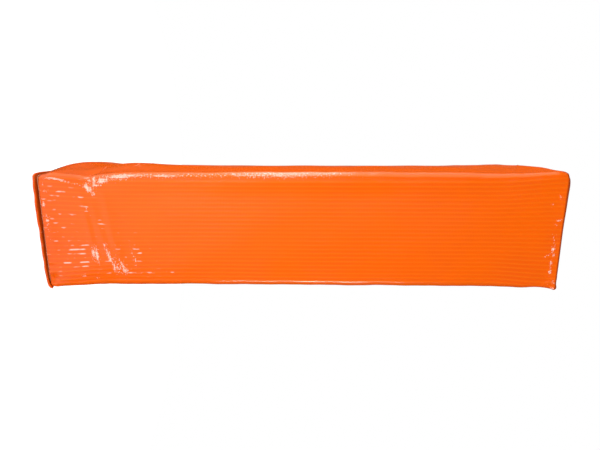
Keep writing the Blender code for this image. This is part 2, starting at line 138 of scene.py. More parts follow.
# Cloth run of the sleeve: its rows, frames and pressure, how far it may move a point, and how
# near the folds it moves none
SWELL_ROWS = 84
SWELL_FRAMES = 20
SWELL_PRESSURE = 2.0
SWELL_LIMIT = 0.0012
SWELL_FOLD_REACH = 0.011

SEED = 11


def ease(share):
    """Smooth step from 0 to 1, level at both ends: 3 s squared minus 2 s cubed."""
    s = np.clip(share, 0, 1)
    return s * s * (3 - 2 * s)


def bell(distance, width):
    """A bell: e to the minus squared distance over squared width."""
    return np.exp(-(distance / width) ** 2)


def arc(across, up, radius, start, sweep, steps):
    """Points on an arc, both ends included, as an array of (across, up)."""
    angle = start + sweep * np.linspace(0, 1, steps + 1)
    return np.c_[across + radius * np.cos(angle), up + radius * np.sin(angle)]


def unit(vectors):
    """Vectors divided by their lengths."""
    return vectors / np.maximum(np.linalg.norm(vectors, axis=-1, keepdims=True), 1e-12)


def runs_along(points):
    """Length along a path at each of its points."""
    steps = np.linalg.norm(np.diff(points, axis=0), axis=1)
    return np.r_[0, np.cumsum(steps)]


def turned(plan, quarters):
    """Plan points turned about the long axis by a number of quarter turns."""
    cos, sin = math.cos(math.pi / 2 * quarters), math.sin(math.pi / 2 * quarters)
    return plan @ np.array([[cos, sin], [-sin, cos]])


def span_shares(flat, corner):
    """Places of one span's columns from -1 to just under 1, with the corners past FLAT_SHARE."""
    rise = np.linspace(FLAT_SHARE, 1, corner + 1)[:-1]
    middle = np.linspace(-FLAT_SHARE, FLAT_SHARE, flat + 1)[:-1]
    return np.r_[-1 + rise - FLAT_SHARE, middle, rise]


def rings(profile, radius, crown, shares):
    """Grid of points: a row for each (half, z) of the profile and four spans of columns.

    In a span, across is share times the flat half length, then an arc of 45 degrees, and out is
    half plus crown times (1 - share to the power 4) on the flat, then the same arc.
    """
    half, height, radius, crown = (
        np.atleast_1d(v)[:, None] + 0 * shares for v in (*profile.T, radius, crown))
    flat = np.clip(shares / FLAT_SHARE, -1, 1)
    turn = np.clip((np.abs(shares) - FLAT_SHARE) / (1 - FLAT_SHARE), 0, 1) * math.pi / 4
    across = flat * (half - radius) + np.sign(shares) * radius * np.sin(turn)
    out = half + crown * (1 - flat ** 4) - radius * (1 - np.cos(turn))
    plan = np.stack([out, across], -1)
    return np.concatenate([np.dstack([turned(plan, side), height]) for side in range(1, 5)], 1)


def girth(shares):
    """Distance round the pylon at each column, 0 at the middle of the photographed face.

    The side seam is at both ends of this range, and the spans are the back, the photograph's
    upper side, its front and its lower side.
    """
    return np.concatenate([(side - 2 + shares / 2) * WIDTH for side in range(4)])


def surface_normals(points):
    """Unit normals of a grid whose columns close on themselves: the cross product of its slopes."""
    along = np.roll(points, -1, 1) - np.roll(points, 1, 1)
    return unit(np.cross(np.gradient(points, axis=0), along))


def graded(start, end, fine, coarse, reach):
    """Heights from start to end, spaced fine at both ends and coarse past reach."""
    heights, here, direction = [start], start, math.copysign(1, end - start)
    while abs(end - here) > fine:
        near = min(abs(here - start), abs(end - here))
        here += direction * (fine + (coarse - fine) * float(ease((near - reach) / reach)))
        heights.append(here)
    heights = np.array(heights)
    return start + (heights - start) * (end - start) / (heights[-1] - start)


def girth_from(place, middle):
    """Shortest way round the pylon from middle to place, with its sign."""
    return (place - middle + 2 * WIDTH) % (4 * WIDTH) - 2 * WIDTH


def spot(place, run, middle, height, half_girth, half_height):
    """A bell round the girth times a bell up the height."""
    return bell(girth_from(place, middle), half_girth) * bell(run - height, half_height)


# Places round the girth in mm: the four folds, and the middles of the sides but the front
BACK_TOP, FRONT_TOP, FRONT_BOTTOM, SEAM_CORNER = (fold * WIDTH / MM for fold in (-1.5, -0.5, 0.5, 1.5))
UPPER, LOWER, BACK = (side * WIDTH / MM for side in (-1, 1, 2))

# Broad forms of the filled cover: girth, height, half girth, half height, how far they stand out
BROAD_FORMS = MM * np.array((
    (UPPER - 12, 10.5, 44, 15.5, 3.3), (UPPER, 451, 34, 13, 2), (UPPER - 12, 60, 34, 32, 2.2),
    (BACK_TOP, 31, 18, 14, 1.4), (BACK_TOP + 18, 260, 16, 150, -0.4), (BACK_TOP, 405, 18, 30, 0.8),
    (BACK_TOP, 450, 13, 13, -2.8), (UPPER - 20, 455, 22, 8, -1.2), (UPPER + 36, 456, 12, 6, 1),
    (FRONT_TOP, 250, 12, 230, 3.8), (FRONT_TOP - 12, 5, 16, 7, -1.2), (FRONT_TOP - 16, 11, 12, 12, 1.2),
    (FRONT_TOP, 5, 10, 6, -1.4), (FRONT_BOTTOM, 40, 10, 22, -0.6), (FRONT_BOTTOM, 230, 10, 240, 0.4),
    (FRONT_BOTTOM, 440, 12, 11, -2.1), (FRONT_BOTTOM, 455, 5, 4, 1.6), (42.5, 8.5, 4, 3, -1.1),
    (FRONT_BOTTOM, 9, 4, 4, 0.8), (FRONT_TOP, 444, 12, 10, 0.6), (FRONT_TOP, 454.5, 7, 5, -2.4),
    (FRONT_TOP, 402, 16, 20, -0.6), (-28, 454.5, 16, 5, 0.8), (0, 10, 34, 6, 0.6),
    (SEAM_CORNER, 50, 10, 12, -1.2), (BACK, 20, 36, 26, 1.6), (LOWER, 20, 36, 26, 1),
))

# Folds pushed in where the foam ends over the pouch: corner, which way the crease runs on to a
# face, and how deep. The crease's distance from the fold follows CREASE_INSETS at CREASE_HEIGHTS
# and CREASE_END above them.
CORNER_DENTS = ((FRONT_TOP, 1, 1.0), (BACK_TOP, -1, 0.5), (SEAM_CORNER, 1, 0.7))
CREASE_HEIGHTS = MM * np.array((4.8, 9, 15.2, 20.4, 26.3, 32.2, 37.3, 42.3, 47.2, 53, 58.5, 69.2, 83.2))
CREASE_INSETS = MM * np.array((4, 5.4, 4.6, 5, 6.3, 7.6, 8.3, 9.8, 11.4, 7, 4.8, 2.2, -1))
CREASE_END = -0.01
CREASE_SLOPE = 0.32
CREASE_REACH = 0.042
CREASE_BREADTH = 0.0007
CREASE_LEAST = 0.0005
CREASE_RIDGE = 0.0002
# Painted highlight along the creases' lines: height, half length, how far
CREASE_GLINTS = (MM, MM, 1) * np.array(((20, 9, 1.6), (34, 22, 0.7)))

# Bends of the flange's edge: girth, half girth, outward, upward
FLANGE_BENDS = MM * np.array((
    (UPPER, 56, -2.6, 0), (20, 30, -0.3, 0), (-30, 32, 2, 0), (FRONT_TOP, 8, -1.6, 0),
    (FRONT_BOTTOM, 9, 0.8, 3.6), (SEAM_CORNER, 10, 0.4, 1.4),
))
FLANGE_WAVE = 0.00022
FLANGE_WAVELENGTHS = (0.0135, 0.031)

# Ripples along the folds: corner, wavelength, phase, height
FOLD_RIPPLES = (MM, MM, 1, MM) * np.array((
    (FRONT_TOP, 34, 0.6, 0.16), (FRONT_TOP, 19, 2.1, 0.11), (FRONT_TOP, 11, 4, 0.05),
    (FRONT_BOTTOM, 41, 1.3, 0.14), (FRONT_BOTTOM, 17, 0.2, 0.07), (BACK_TOP, 37, 3.3, 0.16),
    (BACK_TOP, 15, 1.2, 0.07),
))
RIPPLE_BREADTH = 0.006

# Wrinkles: girth, height, turn in degrees from the long axis, half length, half breadth,
# relief, how far the film is whitened and painted with glints
WRINKLES = (MM, MM, 1, MM, MM, MM, 1) * np.array((
    # Flecks at the dent in the upper fold: whitened film and painted glints
    (-48.5, 43.1, 0, 2, 1, 0.2, 0.7), (-50, 45.9, 0, 2, 1, 0.2, 0.8),
    (-46, 48.1, 60, 1.6, 1.2, 0.2, 0.7), (-49.2, 51.9, 80, 2.4, 1, 0.2, 0.9),
    (-46.6, 53, 80, 2.4, 1.2, 0.2, 0.9), (-42.5, 54.7, 0, 3, 1.1, 0.24, 1),
    (-41.7, 45, 60, 1.8, 1.4, 0.2, 0.7), (-39.8, 46.2, 50, 2.2, 1.4, 0.24, 0.7),
    (-37.8, 47.4, 30, 1.6, 1.4, 0.24, 1), (-38.5, 50.2, 50, 2.2, 1.1, 0.2, 0.8),
    (-34.5, 50.3, 90, 1.4, 0.9, 0.2, 0.9), (-34.5, 52.3, 90, 1.4, 0.9, 0.2, 0.9),
    (-46.5, 57.5, 90, 2.6, 0.9, 0.2, 1.1), (-46.5, 59.6, 90, 2.6, 0.9, 0.2, 1.1),
    (-46.8, 61.7, 90, 2.2, 0.9, 0.15, 0.8), (-47.2, 63.8, 90, 1.8, 0.8, 0.15, 0.6),
    (-49.2, 73, 0, 10, 2, 0.1, 0.75),
    # Painted highlight along the fold, in specks
    (-51, 215, 0, 45, 1.9, 0.05, 0.8), (-51, 130, 0, 50, 1.9, 0.05, 0.3),
    (-50.8, 83, 0, 16, 1.4, 0.05, 0.65), (-50.5, 113, 0, 12, 1.2, 0.05, 0.6),
    # Scattered specks round the flecks
    (-43, 49, 60, 7.5, 4.2, 0, 0.28), (-47, 60, 0, 9, 2.6, 0, 0.26), (20, 48, 88, 10, 4, 0, 0.28),
    (24, 61.5, 78, 12, 3.8, 0, 0.28), (33, 69, 80, 10, 4, 0, 0.27),
    # Soft folds across the face, where the foam gives way to the pouch
    (0, 45, 82, 26, 3, 0.6, 0), (5, 56, 78, 24, 3.4, 0.6, 0), (12, 67, 76, 22, 3.4, 0.55, 0),
    (-15, 64, 80, 20, 3.6, 0.45, 0), (25, 86, 80, 20, 4, 0.3, 0),
    # Lower crinkles, in upright columns
    (-21.5, 44.5, 90, 2.2, 1, 0.12, 0.6), (19, 46.6, 88, 4.5, 1.1, 0.15, 1),
    (21.3, 49.8, 88, 6.2, 1.1, 0.2, 1.1), (11.6, 57.7, 0, 1.6, 0.9, 0.12, 0.8),
    (20.5, 60, 76, 7.5, 1.2, 0.2, 0.75), (25.8, 61.3, 30, 1.4, 1.2, 0.2, 0.9),
    (34.5, 63.7, 88, 4.2, 1, 0.15, 0.8), (34.5, 66.1, 88, 3.8, 1, 0.15, 0.6),
    (31.8, 71.8, 72, 5, 1.4, 0.2, 0.8), (37, 73.8, 80, 2.4, 2.6, 0.2, 0.7),
    (26, 82.8, 82, 9.5, 1.4, 0.12, 0.45), (40, 35.4, 0, 2.2, 1.8, 0.2, 0.6),
    (43.8, 47, 0, 2.2, 1, 0.1, 0.5),
    # Ticks beside the base seam: painted glints on its puckers
    (-44.2, 9.9, 0, 1.2, 1, 0.1, 0.5), (-40.7, 7.8, 0, 1.2, 1, 0.1, 0.6),
    (-35.1, 10, 0, 2.2, 0.9, 0.1, 0.8), (-28.5, 7.3, 0, 1.5, 1, 0.1, 0.8),
    (-23.7, 7, 90, 2.2, 1.2, 0.1, 1.3), (-13.9, 8.3, 0, 2.4, 0.9, 0.1, 0.9),
    (-10.3, 8.6, 30, 1.8, 1.4, 0.1, 1.3), (-6.3, 9.2, 0, 1.8, 1, 0.1, 0.5),
    (-1.8, 8.6, 0, 1.8, 1.2, 0.1, 0.5), (6.4, 11.2, 0, 3, 1, 0.1, 0.35),
    # Top end, along its seam
    (-31.5, 448.2, 55, 2.2, 0.9, 0.2, 0.7), (-11.8, 448.8, 0, 2.4, 0.9, 0.2, 0.9),
    (-8, 446.6, 0, 2, 0.9, 0.15, 0.5), (13, 447.2, 80, 1.8, 1.4, 0.2, 1.3),
    (17.7, 448.2, 60, 2, 1.2, 0.2, 0.9), (19, 442.4, -35, 3, 0.8, 0.12, 0.4),
    (24.9, 446.8, 80, 2, 1, 0.2, 0.7), (30, 446.8, 85, 5, 0.9, 0.25, 0.6),
    (33.2, 446.7, 0, 1.4, 1.2, 0.2, 1.1), (43, 447, -35, 7, 1.6, 0.5, 0.1),
    (42.6, 450.9, 0, 1.4, 1.2, 0.15, 0.8),
))

# Ridged wrinkles, with the ridges' spacing before the relief
RIDGED_WRINKLES = (MM, MM, 1, MM, MM, MM, MM, 1) * np.array((
    (-25, 441.6, 10, 2.2, 1.6, 2.2, 0.2, 0.6), (3, 446.8, 70, 3, 2.4, 2.2, 0.3, 0.8),
    (8.5, 448, 75, 2.8, 1.6, 2.6, 0.3, 1.1),
))

# Random wrinkles on each side but the front: their number, the heights that they lie round, and
# the least and most half length, half breadth, spacing, relief, and whitening with painted glints
RANDOM_WRINKLES = 20
RANDOM_HEIGHTS = (0.049, 0.060, 0.074)
RANDOM_LEAST = (0.004, 0.002, 0.0030, 0.00010, 0.1)
RANDOM_MOST = (0.009, 0.004, 0.0045, 0.00028, 0.7)

# Painted highlight dashes on the ribs' crests: girth, height, half girth, half length, how far
RIB_GLINT_PLACES = (MM, MM, MM, MM, 1) * np.array((
    (0, 20, 45, 22, 0.28), (22, 75, 20, 22, 0.24), (8.1, 30, 1.6, 10, 0.8), (12, 30, 1.6, 11, 0.9),
    (15.9, 30.5, 1.6, 10, 1.9), (17.8, 29, 1.2, 7, 1.4), (19.8, 34.5, 1.6, 8, 1.5),
    (27.6, 21.5, 1.6, 3.6, 1.3), (27.6, 37, 1.6, 5, 1.7), (31.5, 38.2, 1.6, 3, 1.5),
    (23.7, 30, 1.6, 12, 0.5), (-23.1, 45, 1.6, 4.2, 1.1), (-19.2, 44.5, 1.6, 2, 1.2),
    (-15.3, 49.8, 1.6, 4.2, 1), (-11.4, 53.4, 1.6, 2.8, 1), (-7.5, 55.2, 1.6, 4.2, 0.9),
    (-3.6, 57, 1.6, 2.8, 0.8), (-34.8, 24, 1.6, 13, 0.8), (-30.9, 26, 1.6, 16, 0.6),
    (39.3, 90, 1.6, 30, 0.9), (19.8, 85, 1.6, 5, 0.9), (15.9, 83, 1.6, 5, 0.7),
))

# Puckers along a seam: how far they reach, their shortest and longest wavelength, the length over
# which the seam holds them flat, their height and the seed of their phases
BASE_PUCKERS = (0.0070, 0.0045, 0.0100, 0.0030, 0.00028, SEED + 1)
TOP_PUCKERS = (0.0065, 0.0040, 0.0100, 0.0025, 0.00022, SEED + 2)
PANEL_PUCKERS = (0.0090, 0.0045, 0.0120, 0.0040, 0.00022, SEED + 3)

# Slow waves of the filled faces with their two lengths, the top's sway, the groove of the side
# seam, and the shares of the painted shade
SLOW_WAVE = 0.0001
SLOW_LENGTHS = (0.090, 0.057)
TOP_SWAY = 0.00035
TOP_SWAY_LENGTH = 0.041
SEAM_GROOVE = 0.0016
SEAM_BREADTH = 0.0007
# Shares of painted shade: in the base's groove, in a patch beside it, and along the top's edge
GROOVE_SHADE = 0.62
PATCH_SHADE = 0.9
TOP_EDGE_SHADE = 0.8


def wrinkle_relief(place, run):
    """Relief, and whitening with painted glints, of the placed wrinkles and of random ones on
    the other sides.

    Each is a bell along and across its own direction, times ridges with sharp crests:
    1 - 2 |sin(pi across / spacing)|, or a single ridge where it has no spacing.
    """
    random = np.random.default_rng(SEED)
    listed = [*np.insert(WRINKLES, 5, 0, axis=1), *RIDGED_WRINKLES]
    for side in (-2, -1, 1):
        for _ in range(RANDOM_WRINKLES):
            listed.append((
                (side + random.uniform(-0.46, 0.46)) * WIDTH,
                random.choice(RANDOM_HEIGHTS) + random.normal(0, 0.005),
                random.normal(70, 25),
                *random.uniform(RANDOM_LEAST, RANDOM_MOST),
            ))
    relief, white = 0 * place, 0 * place
    for middle, height, turn, length, breadth, spacing, depth, whitening in listed:
        x, y = girth_from(place, middle), run - height
        cos, sin = math.cos(math.radians(turn)), math.sin(math.radians(turn))
        across = x * cos - y * sin
        envelope = bell(y * cos + x * sin, length) * bell(across, breadth)
        ridge = 1 - 2 * np.abs(np.sin(math.pi * across / spacing)) if spacing else 1
        relief += depth * envelope * ridge
        white += 1.5 * whitening * envelope * np.clip(ridge + 0.3, 0, 1)
    return relief, np.clip(white, 0, 1.6)


def rib_glints(place, run):
    """How far the ribs' crests carry painted highlight dashes: the largest of the placed bells."""
    return np.max([how_far * spot(place, run, *where) for *where, how_far in RIB_GLINT_PLACES], axis=0)


def seam_puckers(place, distance, reach, least, most, hold, height, seed):
    """Strength and relief of puckers square to a seam: cosines round the girth, summed.

    The wavelengths run from least to most with random phases, a slow random gain lets them come
    and go, and they die away as e to the minus distance over reach.
    """
    random = np.random.default_rng(seed)
    whole = 4 * WIDTH
    waves = np.arange(math.ceil(whole / most), math.floor(whole / least))
    row = TURN * place[:1] / whole
    puckers = sum(random.normal() * np.cos(n * row + random.uniform(0, TURN)) for n in waves)
    gain = np.cos(7 * row + random.uniform(0, 6)) * np.cos(3 * row + random.uniform(0, 6))
    puckers = puckers / math.sqrt(len(waves)) * (0.55 + 0.45 * gain) * np.exp(-distance / reach)
    return puckers, height * puckers * ease(distance / hold)


def corner_dent(place, run):
    """Relief of the pushed-in folds and the line of each crease.

    On the creased face the depth grows in a straight slope from the crease to the fold, and past
    the fold it dies away as a bell. The crease's own line is a narrow bell.
    """
    relief, line = 0 * place, 0 * place
    inset = np.interp(run, CREASE_HEIGHTS, CREASE_INSETS, right=CREASE_END)
    inset = np.clip(inset * ease(run / CREASE_HEIGHTS[0]), 0, None)
    for corner, turn, scale in CORNER_DENTS:
        from_fold = turn * girth_from(place, corner * MM)
        reach = inset * scale
        facet = np.where(from_fold > 0, np.clip(reach - from_fold, 0, None),
                         reach * bell(from_fold, CREASE_REACH))
        relief -= CREASE_SLOPE * facet * (0.6 + 0.4 * scale)
        line += scale * bell(from_fold - reach, CREASE_BREADTH) * (reach > CREASE_LEAST)
    return relief, line


def broad_relief(place, run):
    """The broad forms, the pushed-in corners and the folds' ripples."""
    relief = corner_dent(place, run)[0]
    relief = relief + sum(stand * spot(place, run, *where) for *where, stand in BROAD_FORMS)
    for corner, wavelength, phase, height in FOLD_RIPPLES:
        ripple = np.cos(TURN * run / wavelength + phase)
        relief = relief + height * ripple * bell(girth_from(place, corner), RIPPLE_BREADTH)
    return relief


def cover_relief(place, run):
    """Relief, whitening and painted glints of the cover: broad forms, wrinkles, puckers, side seam."""
    relief, white = wrinkle_relief(place, run)
    line = corner_dent(place, run)[1]
    relief = relief + broad_relief(place, run) + CREASE_RIDGE * line
    # Painted highlight along each crease's line
    white = white + line * sum(far * bell(run - middle, half) for middle, half, far in CREASE_GLINTS)
    from_base = np.clip(run - BASE_SEAM_RUN, 0, None)
    from_top = np.clip(TOP_TURN_Z - run, 0, None)
    base_puckers, base_relief = seam_puckers(place, from_base, *BASE_PUCKERS)
    top_puckers, top_relief = seam_puckers(place, from_top, *TOP_PUCKERS)
    up, turn = TURN * run, TURN * place / WIDTH
    slow = np.cos(up / SLOW_LENGTHS[0] + 2 * turn) + np.cos(up / SLOW_LENGTHS[1] - 1.5 * turn)
    inside = ease(from_base / 0.02) * ease(from_top / 0.02)
    relief = relief + base_relief + top_relief + SLOW_WAVE * slow * inside
    seam_line = bell(girth_from(place, SEAM_CORNER * MM), SEAM_BREADTH)
    relief = relief * ease(from_base / 0.004) - SEAM_GROOVE * seam_line * inside
    # Pale ticks beside the base seam and specks by the top seam: painted glints on the puckers
    base_ticks = np.clip(base_puckers - 0.45, 0, 1) * bell(run - 0.0075, 0.0026)
    white = white + 1.2 * base_ticks + 0.35 * np.clip(top_puckers - 0.8, 0, 1)
    return relief, np.clip(white, 0, 2)


def grime(place, run):
    """Share of painted shade, from 0 to 1: in the base's groove, in a patch beside it, and at the top's
    edge.
    """
    start = BASE_SEAM_RUN + UNDERSIDE + PINCH * 2.6 + SHOULDER * 0.5
    wide = bell(girth_from(place, (FRONT_TOP - 34) * MM), 0.022)
    above_end = run - BASE_SEAM_RUN + FLANGE * (0.98 + 0.14 * wide)
    groove = GROOVE_SHADE * ease((start - run) / 0.0007) * ease(above_end / 0.0008)
    # A patch of painted shade on the upper side beside the groove
    patch = bell(girth_from(place, (FRONT_TOP - 24) * MM), 0.018) * ease((0.0085 - run) / 0.0030)
    patch = PATCH_SHADE * patch * ease(above_end / 0.0012)
    # Plus painted shade along the top's edge, where the cover turns away from the light
    return np.maximum(groove, patch) + TOP_EDGE_SHADE * ease((run - TOP_TURN_Z + 0.0010) / 0.0014)


def bend_flange(rows, place, out):
    """Move the flange's rows by its bends and its waves, more towards the edge.

    The move is outward times the direction from the axis, plus upward, times the share out to the
    power 1.5.
    """
    short, long = FLANGE_WAVELENGTHS
    waves = np.cos(TURN * place / short + 1) + np.cos(TURN * place / long)
    outward, upward = 0 * place, FLANGE_WAVE * waves
    for middle, half_girth, stand, lift in FLANGE_BENDS:
        near = bell(girth_from(place, middle), half_girth)
        outward, upward = outward + stand * near, upward + lift * near
    move = np.dstack([unit(rows[..., :2]) * outward[..., None], upward])
    moved = rows + move * out[..., None] ** 1.5
    moved[..., 2] = np.maximum(moved[..., 2], VINYL / 2)
    return moved


def flange_frame():
    """Directions along and square to the flange, and where its seam lies."""
    along = np.array([math.cos(FLANGE_DROP), -math.sin(FLANGE_DROP)])
    up = np.array([math.sin(FLANGE_DROP), math.cos(FLANGE_DROP)])
    tip_z = FLANGE_LIFT + VINYL / 2 + LAYER * up[1]
    return along, up, tip_z - FLANGE * along[1]


def base_profile():
    """(half, z) down from the shoulder to the seam: its arc, the underside, then the pinch's arc."""
    _, up, seam_z = flange_frame()
    cos, sin = math.cos(SHOULDER_ANGLE), math.sin(SHOULDER_ANGLE)
    pinch_z = seam_z + PINCH * up[1]
    under_z = pinch_z + PINCH * sin
    join = (HALF - SHOULDER * (1 - cos), under_z + UNDERSIDE * cos)
    under = (join[0] - UNDERSIDE * sin, under_z)
    shoulder = arc(HALF - SHOULDER, join[1] + SHOULDER * sin, SHOULDER, 0, -SHOULDER_ANGLE, 9)
    pinch = arc(under[0] + PINCH * cos, pinch_z, PINCH, math.pi - SHOULDER_ANGLE,
                math.pi / 2 - FLANGE_DROP + SHOULDER_ANGLE, 7)
    return np.vstack([shoulder, np.linspace(join, under, 4)[1:-1], pinch])


BASE_PROFILE = base_profile()
SHOULDER_Z = BASE_PROFILE[0, 1]
BASE_SEAM_RUN = SHOULDER_Z - runs_along(BASE_PROFILE)[-1]


def flange_point(along, above):
    """(half, z) of places along the flange from its seam and above the sleeve's layer."""
    run, up, seam_z = flange_frame()
    return np.array([BASE_PROFILE[-1, 0], seam_z]) + np.multiply.outer(along, run) + above * up


def flange_radius(along):
    """Corner radius along the flange: a little sharper towards its tip, which makes the ears."""
    return END_FOLD_RADIUS * (1 - EAR_SHARE * along / FLANGE)


def wall_form(z):
    """Half width, fold radius and crown of the wall at each height, as in the frame."""
    blend = ease(np.minimum(z - SHOULDER_Z, TOP_TURN_Z - z) / FOLD_EASE)
    swell = BULGE * bell(z - FOAM_Z, FOLD_EASE)
    half = HALF - CROWN * blend + swell / 2
    return half, END_FOLD_RADIUS + (FOLD_RADIUS - END_FOLD_RADIUS) * blend, CROWN * blend + swell / 2


def wall_inside(z):
    """The wall's form less the vinyl and its gap: where the foam and the pouch reach."""
    half, radius, crown = wall_form(z)
    return half - VINYL / 2 - GAP, radius, crown


def shell(rows, thickness):
    """A sheet's two faces in one grid: from one's middle out to the edge, and back on the other."""
    skin = surface_normals(rows) * thickness / 2
    return np.concatenate([(rows - skin)[::-1], rows + skin])


def make_mesh(name, rows, close_rows=False, close_ends=False, uv=None, **attributes):
    """A mesh from a grid whose columns close on themselves.

    close_rows joins the last row to the first, and close_ends gives each end a fan round its mean.
    """
    count, columns = rows.shape[:2]
    points = rows.reshape(-1, 3)
    row, column = np.mgrid[:count if close_rows else count - 1, :columns]
    after, beside = (row + 1) % count, (column + 1) % columns
    quads = np.stack([row * columns + column, after * columns + column, after * columns + beside,
                      row * columns + beside], -1)
    faces = quads.reshape(-1, 4).tolist()
    if close_ends:
        ring = quads[0][:, [0, 3]]
        last = ring + (count - 1) * columns
        faces += np.insert(ring, 2, len(points), axis=1).tolist()
        faces += np.insert(last, 2, len(points) + 1, axis=1)[:, ::-1].tolist()
        points = np.vstack([points, rows[0].mean(0), rows[-1].mean(0)])
    mesh = bpy.data.meshes.new(name)
    mesh.from_pydata(points.tolist(), [], faces)
    for label, values in attributes.items():
        values = np.r_[values.ravel(), np.zeros(len(points) - values.size)]
        mesh.attributes.new(label, "FLOAT", "POINT").data.foreach_set("value", values)
    if uv:
        u, v = uv
        here, beside = u[column], np.append(u, u[0] + 4 * WIDTH)[column + 1]
        corners = np.stack([here, v[row], here, v[after], beside, v[after], beside, v[row]], -1)
        mesh.uv_layers.new(name="girth").data.foreach_set("uv", corners.ravel())
    mesh.shade_smooth()
    mesh.set_sharp_from_angle(angle=math.radians(60))
    return mesh


def new_object(name, data):
    """An object in the scene for a mesh, a lamp or a camera."""
    made = bpy.data.objects.new(name, data)
    bpy.context.collection.objects.link(made)
    return made


def spline_weights(index, count, closed):
    """Cubic B-spline weights of count values at fractional indices, a row for each index."""
    base = np.floor(index).astype(int)
    t = index - base
    weights = np.zeros((len(index), count))
    parts = ((1 - t) ** 3, 3 * t ** 3 - 6 * t ** 2 + 4, -3 * t ** 3 + 3 * t ** 2 + 3 * t + 1, t ** 3)
    for step, part in enumerate(parts, -1):
        column = (base + step) % count if closed else np.clip(base + step, 0, count - 1)
        np.add.at(weights, (np.arange(len(index)), column), part / 6)
    return weights


def pressed_out(rows):
    """The points of an open tube of cloth, held at both ends, after it is pressed from within."""
    mesh = make_mesh("pressed_wall", rows)
    wall = new_object("pressed_wall", mesh)
    count, columns = rows.shape[:2]
    ends = [*range(columns), *range((count - 1) * columns, count * columns)]
    wall.vertex_groups.new(name="held").add(ends, 1.0, "REPLACE")
    cloth = wall.modifiers.new("cloth", "CLOTH").settings
    cloth.vertex_group_mass = "held"
    cloth.quality, cloth.mass, cloth.air_damping = 6, 0.3, 2.0
    cloth.tension_stiffness, cloth.compression_stiffness = 60.0, 60.0
    cloth.shear_stiffness, cloth.bending_stiffness = 30.0, 4.0
    cloth.use_pressure, cloth.uniform_pressure_force = True, SWELL_PRESSURE
    cloth.effector_weights.gravity = 0.0
    scene = bpy.context.scene
    for step in range(1, SWELL_FRAMES + 1):
        scene.frame_set(step)
    pressed = wall.evaluated_get(bpy.context.evaluated_depsgraph_get())
    points = np.empty(rows.size)
    pressed.data.vertices.foreach_get("co", points)
    scene.frame_set(1)
    bpy.data.objects.remove(wall)
    bpy.data.meshes.remove(mesh)
    return points.reshape(rows.shape)


def cloth_swell(place, run):
    """How far the filled sleeve stands out after its cloth run, at each girth and height.

    The run starts from the fitted wall. A point's move is taken along its normal, all moves are
    scaled so that the largest is SWELL_LIMIT, and they die away to nothing at the four folds.
    """
    shares, heights = span_shares(15, 3), np.linspace(TOP_TURN_Z, SHOULDER_Z, SWELL_ROWS)
    girths = girth(shares)
    half, radius, crown = wall_form(heights)
    start = rings(np.c_[half, heights], radius, crown, shares)
    relief = broad_relief(*np.meshgrid(girths, heights))
    start = start + surface_normals(start) * relief[..., None]
    move = np.sum((pressed_out(start) - start) * surface_normals(start), -1)
    move = move * min(1, SWELL_LIMIT / np.abs(move).max())
    from_fold = np.abs((girths % WIDTH) - WIDTH / 2)
    move = move * (1 - bell(from_fold, SWELL_FOLD_REACH))
    column = np.interp(place, np.append(girths, girths[0] + 4 * WIDTH), np.arange(len(girths) + 1))
    row = np.interp(run, heights[::-1], np.arange(SWELL_ROWS)[::-1])
    down, along = spline_weights(row, SWELL_ROWS, False), spline_weights(column, len(girths), True)
    return down @ move @ along.T


def add_piece(name, mesh, finish, node):
    """A piece that rides on the pylon, stands for its CAD node and has one finish."""
    piece = new_object(name, mesh)
    mesh.materials.append(finish)
    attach(piece, "root")
    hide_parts(node)
    return piece


def make_sleeve(finish):
    """The long panel as a closed thin shell: its outer face in fine rows, its inner in coarse."""
    shares = span_shares(SPAN_FLAT_COLUMNS, SPAN_CORNER_COLUMNS)
    turn = arc(HALF - TOP_TURN, TOP_TURN_Z, TOP_TURN, math.pi, -math.pi, 10)[:-1]
    wall = graded(TOP_TURN_Z, SHOULDER_Z, *WALL_ROWS)
    half, radius, crown = wall_form(wall)
    base = BASE_PROFILE[1:]
    swell = wall_form(SHOULDER_Z)[2] * ease((base[:, 1] - base[-1, 1]) / (SHOULDER_Z - base[-1, 1]))
    steps = np.linspace(0, FLANGE, 7)[1:]
    profile = np.vstack([(SKIRT + LAYER, ALLOWANCE_END_Z), turn, np.c_[half, wall],
                         base + np.outer(swell, (1, 0)), flange_point(steps, 0)])
    first_wall = 1 + len(turn)
    radii = np.r_[np.full(first_wall, END_FOLD_RADIUS), radius,
                  np.full(len(base), END_FOLD_RADIUS), flange_radius(steps)]
    crowns = np.r_[np.zeros(first_wall), crown, swell, 0 * steps]
    middle = rings(profile, radii, crowns, shares)

    run = runs_along(profile)
    run = TOP_TURN_Z - (run - run[first_wall])
    place = girth(shares)
    grid_place, grid_run = np.meshgrid(place, run)
    relief, white = cover_relief(grid_place, np.minimum(grid_run, TOP_TURN_Z))
    on_flange = np.clip((BASE_SEAM_RUN - grid_run) / FLANGE, 0, 1)
    shown = grid_run < TOP_TURN_Z + TOP_TURN * 2
    relief = (relief + cloth_swell(place, run)) * (on_flange <= 0) * shown
    middle = middle + surface_normals(middle) * relief[..., None]
    middle = bend_flange(middle, grid_place, on_flange)
    skin = surface_normals(middle) * VINYL / 2
    count = len(run)
    back = np.unique(np.r_[:first_wall, first_wall:count:4, count - 14:count])[::-1]
    rows = np.concatenate([middle + skin, (middle - skin)[back]])
    runs = np.r_[run, run[back]]
    plain = 0 * white[back]
    # Attributes: whitening with painted glints, painted shade, and painted highlight dashes on the
    # ribs' crests
    mesh = make_mesh("cover_sleeve_vinyl", rows, close_rows=True, uv=(place, runs),
                     whitening=np.concatenate([white * shown, plain]),
                     grime=grime(*np.meshgrid(place, runs)),
                     rubbing=np.concatenate([rib_glints(grid_place, grid_run), plain]))
    return add_piece("cover_sleeve_vinyl", mesh, finish, "cover_sleeve")


